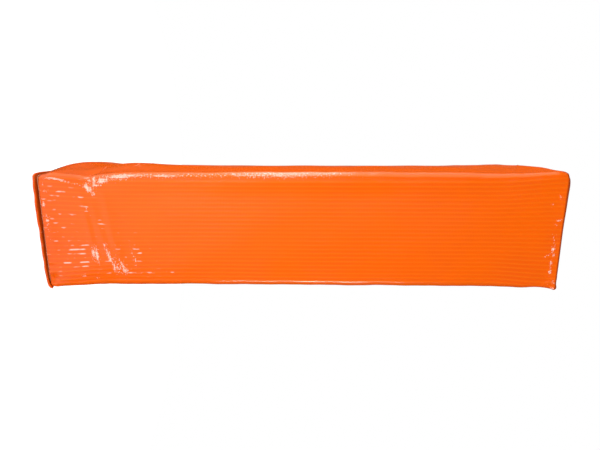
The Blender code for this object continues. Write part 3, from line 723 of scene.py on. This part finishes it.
# Columns of the end panels, whose rings shrink to a small share of their edge round a middle point
PANEL_SHARES = span_shares(56, 6)
POLE_SHARE = 0.02


def pole_radii(share, edge):
    """Corner radii of rings that shrink from an edge: a circle at the middle, where share is 0."""
    return share * (END_FOLD_RADIUS * share + edge * (1 - share))


def add_panel(name, rows, whites, finish, node):
    """A panel as a closed thin shell, whitened and painted with glints on its outer face."""
    mesh = make_mesh(name, shell(rows, VINYL), close_ends=True,
                     whitening=np.concatenate([0 * whites, whites]))
    return add_piece(name, mesh, finish, node)


def make_top_panel(finish):
    """The square top: a low dome inside the seam, with puckers round its edge."""
    edge = SKIRT - TOP_TURN
    corner = arc(edge, TOP_TURN_Z, TOP_TURN, 0, math.pi / 2, 8)
    dome = np.linspace(1, POLE_SHARE, 42)[1:]
    rise = TOP_TURN_Z + TOP_TURN + TOP_DOME * (1 - dome ** 2)
    profile = np.vstack([(SKIRT, ALLOWANCE_END_Z), corner, np.c_[edge * dome, rise]])
    radii = np.r_[np.full(1 + len(corner), END_FOLD_RADIUS), pole_radii(dome, edge)]
    rows = rings(profile, radii, 0, PANEL_SHARES)
    place = girth(PANEL_SHARES) + 0 * rows[..., 0]
    inward = np.r_[np.zeros(1 + len(corner)), edge * (1 - dome)][:, None]
    puckers, relief = seam_puckers(place, inward, *PANEL_PUCKERS)
    sway = np.cos(TURN * (rows[..., 0] * 0.8 + rows[..., 1]) / TOP_SWAY_LENGTH)
    relief = relief + TOP_SWAY * sway * ease(inward / 0.02)
    rows = rows + surface_normals(rows) * relief[..., None]
    # Painted glints on the puckers round its edge
    whites = 0.35 * np.clip(puckers - 0.8, 0, 1)
    return add_panel("cover_top_vinyl", rows, whites, finish, "cover_top_panel")


def make_base_panel(finish):
    """The square base: flat on the floor, up a ramp to the seam and out along the flange."""
    crest = arc(*flange_point(0, -LAYER - PINCH), PINCH, math.pi / 2 - FLANGE_DROP,
                FLANGE_DROP + BASE_RAMP, 7)
    foot_z = BASE_FLAT_Z + BASE_RAMP_RADIUS * (1 - math.cos(BASE_RAMP))
    ramp = (crest[-1, 1] - foot_z) / math.tan(BASE_RAMP)
    foot_half = crest[-1, 0] - ramp - BASE_RAMP_RADIUS * math.sin(BASE_RAMP)
    foot = arc(foot_half, BASE_FLAT_Z + BASE_RAMP_RADIUS, BASE_RAMP_RADIUS,
               BASE_RAMP - math.pi / 2, -BASE_RAMP, 6)
    steps = np.linspace(FLANGE, 0, 7)[:-1]
    inside = np.linspace(1, POLE_SHARE, 30)[1:]
    flat = np.outer(inside, (foot_half, 0)) + (0, BASE_FLAT_Z)
    profile = np.vstack([flange_point(steps, -LAYER), crest, foot, flat])
    radii = np.r_[flange_radius(steps), np.full(len(crest) + len(foot), END_FOLD_RADIUS),
                  pole_radii(inside, foot_half)]
    rows = rings(profile, radii, 0, PANEL_SHARES)
    place = girth(PANEL_SHARES) + 0 * rows[..., 0]
    out = np.r_[steps / FLANGE, np.zeros(len(profile) - len(steps))][:, None]
    rows = bend_flange(rows, place, out)
    return add_panel("cover_base_vinyl", rows, 0 * place, finish, "cover_base_panel")


class Socket:
    """An output of a shader node, on which plain arithmetic adds Math nodes."""

    def __init__(self, finish, output):
        self.finish, self.output = finish, output

    def math(self, operation, *others):
        """A Math node on this value and others."""
        return self.finish.node("Math", [self, *others], operation=operation)

    def __add__(self, other):
        return self.math("ADD", other)

    def __sub__(self, other):
        return self.math("SUBTRACT", other)

    def __mul__(self, other):
        return self.math("MULTIPLY", other)

    def __rsub__(self, other):
        return self.finish.node("Math", [other, self], operation="SUBTRACT")

    def __pow__(self, other):
        return self.math("POWER", other)

    __radd__, __rmul__ = __add__, __mul__

    def sine(self, scale):
        """Sine of this value times a scale."""
        return (self * scale).math("SINE")

    def ramp(self, low, high):
        """0 at low, 1 at high, clamped between."""
        return self.finish.node("MapRange", [self, low, high], clamp=True)


class Finish:
    """The nodes of a material or of the world, with one method that adds any node."""

    def __init__(self, owner):
        owner.use_nodes = True
        self.owner, self.tree = owner, owner.node_tree
        self.shader = self.tree.nodes.get("Principled BSDF") or self.tree.nodes["Background"]

    @classmethod
    def named(cls, name):
        """The nodes of a new material."""
        return cls(bpy.data.materials.new(name))

    def put(self, socket, value):
        """Link a socket to a value, or set it to a number or a colour."""
        if isinstance(value, Socket):
            self.tree.links.new(value.output, socket)
        else:
            socket.default_value = value

    def node(self, kind, values=(), output=0, **settings):
        """Add a node: its settings first, then its sockets by position or by name."""
        made = self.tree.nodes.new("ShaderNode" + kind)
        for name, value in settings.items():
            setattr(made, name, value)
        pairs = values.items() if isinstance(values, dict) else enumerate(values)
        for name, value in pairs:
            self.put(made.inputs[name], value)
        return Socket(self, made.outputs[output])

    def place(self):
        """Object coordinates."""
        return self.node("TexCoord", output=3)

    def part(self, place, axis):
        """One of a place's three lengths."""
        return self.node("SeparateXYZ", [place], axis)

    def attribute(self, name):
        """A value painted on the mesh."""
        return self.node("Attribute", output=2, attribute_name=name)

    def mix(self, share, first, second):
        """Colour between first and second."""
        return self.node("Mix", {0: share, 6: first, 7: second}, 2, data_type="RGBA")

    def stretch(self, place, scale):
        """A place scaled by a different number on each axis."""
        return self.node("VectorMath", [place, scale], operation="MULTIPLY")

    def noise(self, place, scale, detail=2.0):
        """Noise value around 0.5 at a place."""
        return self.node("TexNoise", {"Vector": place, "Scale": scale, "Detail": detail})

    def bump(self, height):
        """Normal of a surface that stands out by a height in metres."""
        return self.node("Bump", {"Strength": 1.0, "Distance": 1.0, "Height": height})

    def wire(self, **sockets):
        """Set or link the shader's own sockets, with underscores for spaces."""
        for name, value in sockets.items():
            self.put(self.shader.inputs[name.replace("_", " ")], value)
        return self.owner

    def surface(self, shader):
        """Make another shader the material's surface."""
        self.put(self.tree.nodes["Material Output"].inputs["Surface"], shader)
        return self.owner


ORANGE = (0.92, 0.1195, 0.0010, 1)
ORANGE_DEEP = (0.89, 0.107, 0.0010, 1)
# Colour of the ribs' crests, which are painted lighter: a painted sheen for the light they catch
ORANGE_RIB = (0.935, 0.1645, 0.0033, 1)
# Colour of whitened film and of the painted glints and highlights
WHITE_AND_GLINT = (0.96, 0.74, 0.63, 1)
# Colour towards which the painted shade darkens the vinyl in the groove, the patch and at the top's
# edge
SHADOW_TONE = (0.16, 0.020, 0.006, 1)
RIB_TURNS = TURN / 0.0039
RIB_SHIFT = 0.0007
SCRIM_TURNS = TURN / 0.0013


def vinyl_finish(name, uv_map=None):
    """Ribbed glossy vinyl over a woven scrim, in lengths of a UV map or else Object x and y.

    The ribs and the scrim's two sets of yarns are sines, and the ribs' crests are painted lighter.
    Wrinkled film is whitened and painted with glints in specks, the ribs' crests carry painted
    highlight dashes, and painted shade darkens the base's groove and the top's edge.
    """
    finish = Finish.named(name)
    place = finish.place()
    cloth = finish.node("UVMap", uv_map=uv_map) if uv_map else place
    across, along = finish.part(cloth, 0), finish.part(cloth, 1)
    wander = finish.noise(place, 60.0) * 0.0006
    ribs = (across + wander + RIB_SHIFT).sine(RIB_TURNS)
    warp, weft = across.sine(SCRIM_TURNS), along.sine(SCRIM_TURNS)
    cloudy, grain = finish.noise(place, 28.0, 3.0), finish.noise(place, 900.0)
    speck = finish.noise(finish.stretch(cloth, (900.0, 760.0, 0.0)), 1.0, 1.5)
    dash = finish.noise(finish.stretch(cloth, (260.0, 110.0, 0.0)), 1.0, 1.5)
    whitening, rubbing = finish.attribute("whitening"), finish.attribute("rubbing")
    cells = (warp * 0.42 + weft * 0.42 + 0.60).ramp(0.0, 1.0)
    broken = (speck - (0.66 - whitening * 0.20)).ramp(0.0, 0.08)
    specks = broken * (whitening * 3.0).math("MINIMUM", 1.0) * cells * 0.85
    # Solid white where the film is most whitened: painted highlight along the creases and the fold
    solid_white = (whitening - 1.0).math("MAXIMUM", 0.0) * 0.7 * (cells * 0.5 + 0.5)
    # Painted highlight dashes on the ribs' crests
    dashes = (dash - (0.62 - rubbing * 0.20)).ramp(0.0, 0.12)
    dashes = dashes * (rubbing * 3.0).math("MINIMUM", 1.0) * ribs.ramp(0.3, 0.95)
    white = (specks + solid_white + dashes * 0.8).math("MINIMUM", 1.0)
    shade = finish.mix(cloudy.ramp(0.3, 0.7), ORANGE, ORANGE_DEEP)
    # The ribs' crests painted lighter, a painted sheen
    crest = (ribs * 0.5 + 0.5) ** 3.0
    shade = finish.mix(crest * (0.35 + cloudy * 0.4), shade, ORANGE_RIB)
    shade = finish.mix(white, shade, WHITE_AND_GLINT)
    # Painted shade: darker in the base's groove, in a patch beside it, and at the top's edge
    shade_share = finish.attribute("grime") * (0.75 + grain * 0.4)
    roughness = cloudy * 0.10 + 0.10 + whitening.math("MINIMUM", 1.0) * 0.2 + white * 0.2
    relief = ribs * 0.00003 + (warp + weft) * 0.000008 + grain * 0.00001 + cloudy * 0.00006
    return finish.wire(Base_Color=finish.mix(shade_share, shade, SHADOW_TONE), Roughness=roughness,
                       Specular_IOR_Level=0.5, Normal=finish.bump(relief))


# Plain finishes: name, colour, second colour, scale of the grain, roughness and relief
PLAIN_FINISHES = (
    ("cream_foam_cells", (0.86, 0.80, 0.64, 1), (0.70, 0.64, 0.48, 1), 1400.0, 0.80, 0.0004),
    ("clear_film_pouch", (0.78, 0.82, 0.84, 1), (0.70, 0.75, 0.78, 1), 60.0, 0.12, 0.0006),
    ("dry_sand_grains", (0.58, 0.44, 0.27, 1), (0.40, 0.29, 0.16, 1), 1800.0, 0.80, 0.0003),
    ("pale_thread_twist", (0.92, 0.52, 0.30, 1), (0.80, 0.32, 0.14, 1), 1500.0, 0.45, 0.0001),
)


def plain_finish(name, colour, second, scale, roughness, relief):
    """A plain material whose colour, roughness and relief follow one noise."""
    finish = Finish.named(name)
    grain = finish.noise(finish.place(), scale, 3.0)
    return finish.wire(Base_Color=finish.mix(grain.ramp(0.3, 0.7), colour, second),
                       Roughness=grain * 0.2 + roughness, Normal=finish.bump(grain * relief))


def stitched_path(half, radius):
    """Places round a seam, in four quarters of an arc and a straight side, and the length to each."""
    corner = arc(half - radius, half - radius, radius, 0, math.pi / 2, 10)[:-1]
    count = round(2 * (half - radius) / STITCH) * STITCH_STEPS
    side = np.linspace((half - radius, half), (radius - half, half), count + 1)[:-1]
    path = np.vstack([turned(np.vstack([corner, side]), quarters) for quarters in range(4)])
    return path, runs_along(np.vstack([path, path[:1]]))


def add_thread(seam, points, normals, mark, thinning, finish, closed=False):
    """A lockstitch thread, six sides round: it arches between needle holes and is pulled in there.

    mark is |sin(pi run / stitch)|. The lift is STITCH_ARCH times its square root, and the radius
    is THREAD times 0.55 plus 0.45 of mark to the power of thinning.
    """
    points = points + normals * (STITCH_ARCH * np.sqrt(mark))[:, None]
    radii = THREAD * (0.55 + 0.45 * mark ** thinning)
    ahead = np.roll(points, -1, 0) - np.roll(points, 1, 0) if closed else np.gradient(points, axis=0)
    side = unit(np.cross(unit(ahead), normals))
    lift = np.cross(side, unit(ahead))
    angle = np.arange(6)[:, None] * math.pi / 3
    around = np.cos(angle) * side[:, None] + np.sin(angle) * lift[:, None]
    rows = points[:, None] + radii[:, None, None] * around
    name = seam + "_stitches"
    mesh = make_mesh(name, rows, close_rows=closed, close_ends=not closed)
    add_piece(name, mesh, finish, seam + "_thread")


def add_ring_thread(seam, half, z, radius, outward, finish):
    """A thread round the pylon, which stands off it in the direction outward = (away, up)."""
    path, runs = stitched_path(half, radius)
    stitches = round(runs[-1] / STITCH)
    mark = np.abs(np.sin(math.pi * stitches * runs[:-1] / runs[-1]))
    points = np.c_[path, np.full(len(path), z)]
    normals = np.c_[unit(path) * outward[0], np.full(len(path), outward[1])]
    add_thread(seam, points, normals, mark, 0.5, finish, closed=True)


def make_threads(finish):
    """The threads of the three seams, each in the place of its CAD node."""
    _, up, _ = flange_frame()
    rest = VINYL / 2 + THREAD * 0.9
    for name, above, sign in (("needle", rest, 1), ("bobbin", -LAYER - rest, -1)):
        half, z = flange_point(STITCH_INSET, above)
        radius = flange_radius(STITCH_INSET)
        add_ring_thread("base_seam_" + name, half, z, radius, sign * up, finish)
    for name, face, sign in (("needle", SKIRT + LAYER, 1), ("bobbin", SKIRT, -1)):
        add_ring_thread("top_seam_" + name, face + sign * (rest + GAP), TOP_TURN_Z - STITCH_INSET,
                        END_FOLD_RADIUS, (sign, 0), finish)
    for name, sign in (("needle", 1), ("bobbin", -1)):
        low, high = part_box("side_seam_%s_thread" % name)
        x, y, _ = (low + high) / 2
        count = STITCH_STEPS * round((high.z - low.z) / STITCH) + 1
        points = np.linspace((x, y, low.z), (x, y, high.z), count)
        mark = np.abs(np.sin(math.pi * (points[:, 2] - low.z) / STITCH))
        normals = np.tile(sign * np.array([-1, 1, 0]) / math.sqrt(2), (count, 1))
        add_thread("side_seam_" + name, points, normals, mark, 1, finish)


def make_foam(finish):
    """The foam block inside the cover, stepped in at its top for the seam's allowances."""
    shares = span_shares(20, 4)
    low = FOAM_Z + FOAM_EDGE
    low_half, low_radius, low_crown = wall_inside(low)
    edge = arc(low_half - FOAM_EDGE, low, FOAM_EDGE, -math.pi / 2, math.pi / 2, 6)
    step_z = ALLOWANCE_END_Z - GAP - VINYL / 2
    wall = np.linspace(low, step_z, 60)[1:]
    half, radius, crown = wall_inside(wall)
    step_half = SKIRT - VINYL / 2 - 2 * GAP - 2 * THREAD - STITCH_ARCH
    rim_z = TOP_TURN_Z + TOP_TURN - VINYL / 2 - GAP
    top_half = step_half - FOAM_EDGE
    over = arc(top_half, rim_z - FOAM_EDGE, FOAM_EDGE, 0, math.pi / 2, 6)
    dome = np.linspace(1, 0.05, 10)[1:]
    cap = np.c_[top_half * dome, rim_z + TOP_DOME * (1 - dome ** 2)]
    profile = np.vstack([edge, np.c_[half, wall], (step_half, step_z), over, cap])
    radii = np.r_[np.full(len(edge), low_radius), radius,
                  np.full(1 + len(over), END_FOLD_RADIUS), pole_radii(dome, top_half)]
    crowns = np.r_[low_crown * ease(np.linspace(0, 1, len(edge))), crown,
                   np.zeros(1 + len(over) + len(dome))]
    rows = rings(profile - (FOAM_EASE, 0), radii, crowns, shares)
    place, height = np.meshgrid(girth(shares), profile[:, 1])
    dented = FOAM_DENT * np.clip(broad_relief(place, height), None, 0)
    rows = rows + surface_normals(rows) * np.abs(dented)[..., None]
    pull = FOAM_PULL * bell(girth_from(girth(shares), SEAM_CORNER * MM), 0.004)
    reach = np.linalg.norm(rows[..., :2], axis=-1).clip(0.02)
    rows[..., :2] *= (1 - pull / reach)[..., None]
    mesh = make_mesh("foam_block", rows[::-1], close_ends=True)
    add_piece("foam_block", mesh, finish, "foam_core")


# Pouch: its base, its rim and half its width inside the rim
POUCH_Z = VINYL + GAP + FILM / 2
POUCH_RIM_Z = POUCH_Z + (BALLAST_HEIGHT - FILM - GAP) / 2
POUCH_HALF = wall_inside(POUCH_RIM_Z)[0] - POUCH_ROOM - POUCH_RIM - POUCH_RIM_TURN


def pouch_profile(inset):
    """(half, z) of the pouch's lower half, round its edge and in to the middle, inset from the film."""
    radius = POUCH_EDGE - inset
    edge = arc(POUCH_HALF - inset - radius, POUCH_Z + inset + radius, radius, 0, -math.pi / 2, 8)
    return np.vstack([edge, np.linspace(edge[-1], edge[-1] * (0.04, 1), 12)[1:]])


def make_pouch(film, sand):
    """The sand in its pouch: two films that meet in a flat rim, and the sand that fills them."""
    shares = span_shares(28, 4)
    turn_half = POUCH_HALF + POUCH_RIM_TURN
    rim = np.linspace((turn_half + POUCH_RIM, POUCH_RIM_Z), (turn_half, POUCH_RIM_Z), 5)
    bend = arc(turn_half, POUCH_RIM_Z - POUCH_RIM_TURN, POUCH_RIM_TURN, math.pi / 2, math.pi / 2, 5)
    lower = np.vstack([rim, bend[1:], pouch_profile(0)])
    over = (0, 2 * POUCH_Z + BALLAST_HEIGHT)
    for side, outline in (("lower", lower), ("upper", lower * (1, -1) + over)):
        rows = rings(outline, outline[:, 0] * POUCH_ROUND, 0, shares)
        name = "pouch_film_" + side
        mesh = make_mesh(name, shell(rows, FILM), close_ends=True)
        form = bmesh.new()
        form.from_mesh(mesh)
        bmesh.ops.recalc_face_normals(form, faces=form.faces)
        form.to_mesh(mesh)
        form.free()
        add_piece(name, mesh, film, "ballast_bag_" + side)
    lower = pouch_profile(FILM / 2 + GAP)
    outline = np.vstack([(lower * (1, -1) + over)[::-1], lower])
    rows = rings(outline, outline[:, 0] * POUCH_ROUND, 0, shares)
    mesh = make_mesh("pouch_sand", rows, close_ends=True)
    add_piece("pouch_sand", mesh, sand, "ballast_sand")


# Camera: its place and turn, in degrees, in the picture's own axes, fitted to the photograph's
# outline
CAMERA_PLACE = (0.01294, 0.09498, 0.43994)
CAMERA_PITCH, CAMERA_YAW, CAMERA_ROLL = -12.720, 1.775, -0.129
FOCAL_PIXELS = 461.58
PICTURE_WIDTH = 600
SENSOR = 36.0


def make_camera():
    """The photograph's camera. Picture right is +Z, picture up is -X and out of it is -Y."""
    data = bpy.data.cameras.new("camera")
    data.sensor_width = SENSOR
    data.sensor_fit = "HORIZONTAL"
    data.lens = FOCAL_PIXELS * SENSOR / PICTURE_WIDTH
    data.clip_start = 0.01
    camera = new_object("camera", data)
    picture = Matrix(((0, -1, 0), (0, 0, -1), (1, 0, 0)))
    turn = picture
    for angle, axis in ((CAMERA_YAW, "Y"), (CAMERA_PITCH, "X"), (CAMERA_ROLL, "Z")):
        turn = turn @ Matrix.Rotation(math.radians(angle), 3, axis)
    place = picture @ Vector(CAMERA_PLACE) + Vector((0, 0, HEIGHT / 2))
    camera.matrix_world = Matrix.LocRotScale(place, turn.to_quaternion(), None)
    bpy.context.scene.camera = camera


# Lamps: name, place, target, size, radiance, and what they show in: the gloss or the plain colour
LAMPS = (
    ("upper_window", (-1.25, 0.32, 0.17), (-0.05, -0.05, 0.17), (1.15, 0.33), 4.8, "gloss"),
    ("upper_haze", (-1.25, 0.32, 0.12), (-0.05, -0.05, 0.12), (1.15, 0.64), 0.6, "gloss"),
    ("far_haze", (-1.25, 0.32, 0.75), (-0.05, -0.05, 0.75), (1.15, 0.36), 0.02, "gloss"),
    ("lower_strip", (1.0, -0.76, 0.24), (0.05, -0.05, 0.24), (0.08, 0.5), 60.0, "gloss"),
    ("front_softbox", (-0.55, -2.1, -0.05), (0, 0, 0.23), (2.2, 2.2), 2.26, "plain"),
    ("side_softbox", (-1.6, 1.05, 0.25), (-0.05, 0, 0.23), (1.6, 1.6), 6.0, "plain"),
    ("base_softbox", (-0.12, -0.47, 0.05), (-0.01, -0.05, 0.03), (0.30, 0.12), 6.0, "plain"),
    ("right_softbox", (1.3, 1.25, 0.25), (0.05, 0, 0.23), (1.3, 1.3), 2.6, "plain"),
    ("ceiling_softbox", (0.1, 0.0, 2.4), (0, 0, 0.4), (1.6, 1.6), 1.3, "plain"),
)


def make_lamps():
    """Area lamps, each facing its target; a lamp's power is pi times area times radiance."""
    for name, place, target, size, radiance, shows_in in LAMPS:
        data = bpy.data.lights.new(name, "AREA")
        data.shape = "RECTANGLE"
        data.size, data.size_y = size
        data.energy = radiance * math.pi * size[0] * size[1]
        lamp = new_object(name, data)
        lamp.visible_glossy = shows_in == "gloss"
        lamp.visible_diffuse = shows_in == "plain"
        back = (Vector(place) - Vector(target)).normalized()
        side = Vector((0, 0, 1)).cross(back).normalized()
        turn = Matrix((side, back.cross(side), back)).transposed().to_quaternion()
        lamp.matrix_world = Matrix.LocRotScale(Vector(place), turn, None)


FLOOR_RADIUS = 0.40
FLOOR_SIDES = 96
FLOOR_Z = -0.0002
FLOOR_GLOW = 1.35
FLOOR_SHADOW_SHARE = 0.15
WORLD_LEVEL = 0.42
PALE = (1.0, 1.0, 1.0, 1)
WARM = (1.0, 0.13, 0.005, 1)
# Cards that only reflections see: name, two opposite corners, colour, brightness, and the heights
# between which one fades from its full brightness to black
CARDS = (
    ("front_card", (-2.5, -1.6, -2.5), (2.5, -1.6, 2.5), PALE, 0.85, (-0.86, 0.22)),
    ("low_card", (-0.0558, 0.12, -0.6), (0.0, 0.12, 0.9), PALE, 0.14, None),
    ("under_card", (0.0, 0.12, -0.6), (0.60, 0.12, 0.9), PALE, 0.01, None),
    ("back_card", (-0.085, 0.12, -0.6), (-0.0558, 0.12, 0.9), WARM, 0.45, None),
    ("haze_card", (-0.20, 0.12, -0.6), (-0.085, 0.12, 0.9), PALE, 0.08, None),
    ("side_card", (0.55, -0.9, -0.9), (0.55, 0.9, 1.2), PALE, 0.015, None),
    ("top_card", (-0.9, -0.9, 0.95), (0.9, 0.9, 0.95), PALE, 0.015, None),
)


def seen_rays(finish):
    """1 for camera, glossy and transmission rays, which see the plain white background."""
    rays = [finish.node("LightPath", output=name)
            for name in ("Is Camera Ray", "Is Glossy Ray", "Is Transmission Ray")]
    return (rays[0] + rays[1] + rays[2]).math("MINIMUM", 1.0)


def add_stage(name, corners, material):
    """One flat face of the stage."""
    mesh = bpy.data.meshes.new(name)
    mesh.from_pydata(corners, [], [tuple(range(len(corners)))])
    mesh.materials.append(material)
    face = new_object(name, mesh)
    return face


def make_floor():
    """A pale floor under the pylon: white to seen rays, and yet with the pylon's shadow."""
    angle = np.arange(FLOOR_SIDES) / FLOOR_SIDES * TURN
    corners = np.c_[FLOOR_RADIUS * np.cos(angle), FLOOR_RADIUS * np.sin(angle),
                    np.full(FLOOR_SIDES, FLOOR_Z)]
    finish = Finish.named("floor_paint")
    diffuse = finish.node("BsdfDiffuse", {"Color": (0.92, 0.92, 0.92, 1)})
    glow = finish.node("Emission", {"Color": PALE, "Strength": FLOOR_GLOW})
    seen = seen_rays(finish) * (1 - FLOOR_SHADOW_SHARE)
    lit = finish.node("MixShader", [seen, diffuse, glow])
    clear = finish.node("BsdfTransparent")
    below = finish.node("NewGeometry", output="Backfacing")
    both = finish.node("MixShader", [below, lit, clear])
    floor = add_stage("floor", corners.tolist(), finish.surface(both))
    floor.visible_glossy = False


def make_cards():
    """Cards round the pylon that only reflections see: dark, or fading from pale to dark upwards."""
    for name, start, end, colour, level, fade in CARDS:
        (x0, y0, z0), (x1, y1, z1) = start, end
        finish = Finish.named(name + "_paint")
        if fade:
            level = (finish.part(finish.place(), 2).ramp(fade[1], fade[0]) ** 1.5) * level
        glow = finish.node("Emission", {"Color": colour, "Strength": level})
        near, far = (y0, y1) if z0 == z1 else (y1, y0)
        corners = [(x0, y0, z0), (x1, near, z0), (x1, y1, z1), (x0, far, z1)]
        card = add_stage(name, corners, finish.surface(glow))
        card.visible_camera = card.visible_diffuse = card.visible_shadow = False
        card.visible_transmission = False


def make_world():
    """White to seen rays, and a plain soft light for the rest."""
    world = bpy.data.worlds.new("studio")
    bpy.context.scene.world = world
    studio = Finish(world)
    seen = seen_rays(studio)
    studio.wire(Color=PALE, Strength=seen + (1 - seen) * WORLD_LEVEL)


def main():
    """Make every piece, the stage, the lamps and the camera."""
    bpy.context.scene.view_settings.view_transform = "Standard"
    sleeve_vinyl = vinyl_finish("orange_vinyl_sleeve", "girth")
    panel_vinyl = vinyl_finish("orange_vinyl_panels")
    foam, film, sand, thread = (plain_finish(*finish) for finish in PLAIN_FINISHES)
    make_sleeve(sleeve_vinyl)
    make_top_panel(panel_vinyl)
    make_base_panel(panel_vinyl)
    make_threads(thread)
    make_foam(foam)
    make_pouch(film, sand)
    make_floor()
    make_cards()
    make_world()
    make_lamps()
    make_camera()


main()
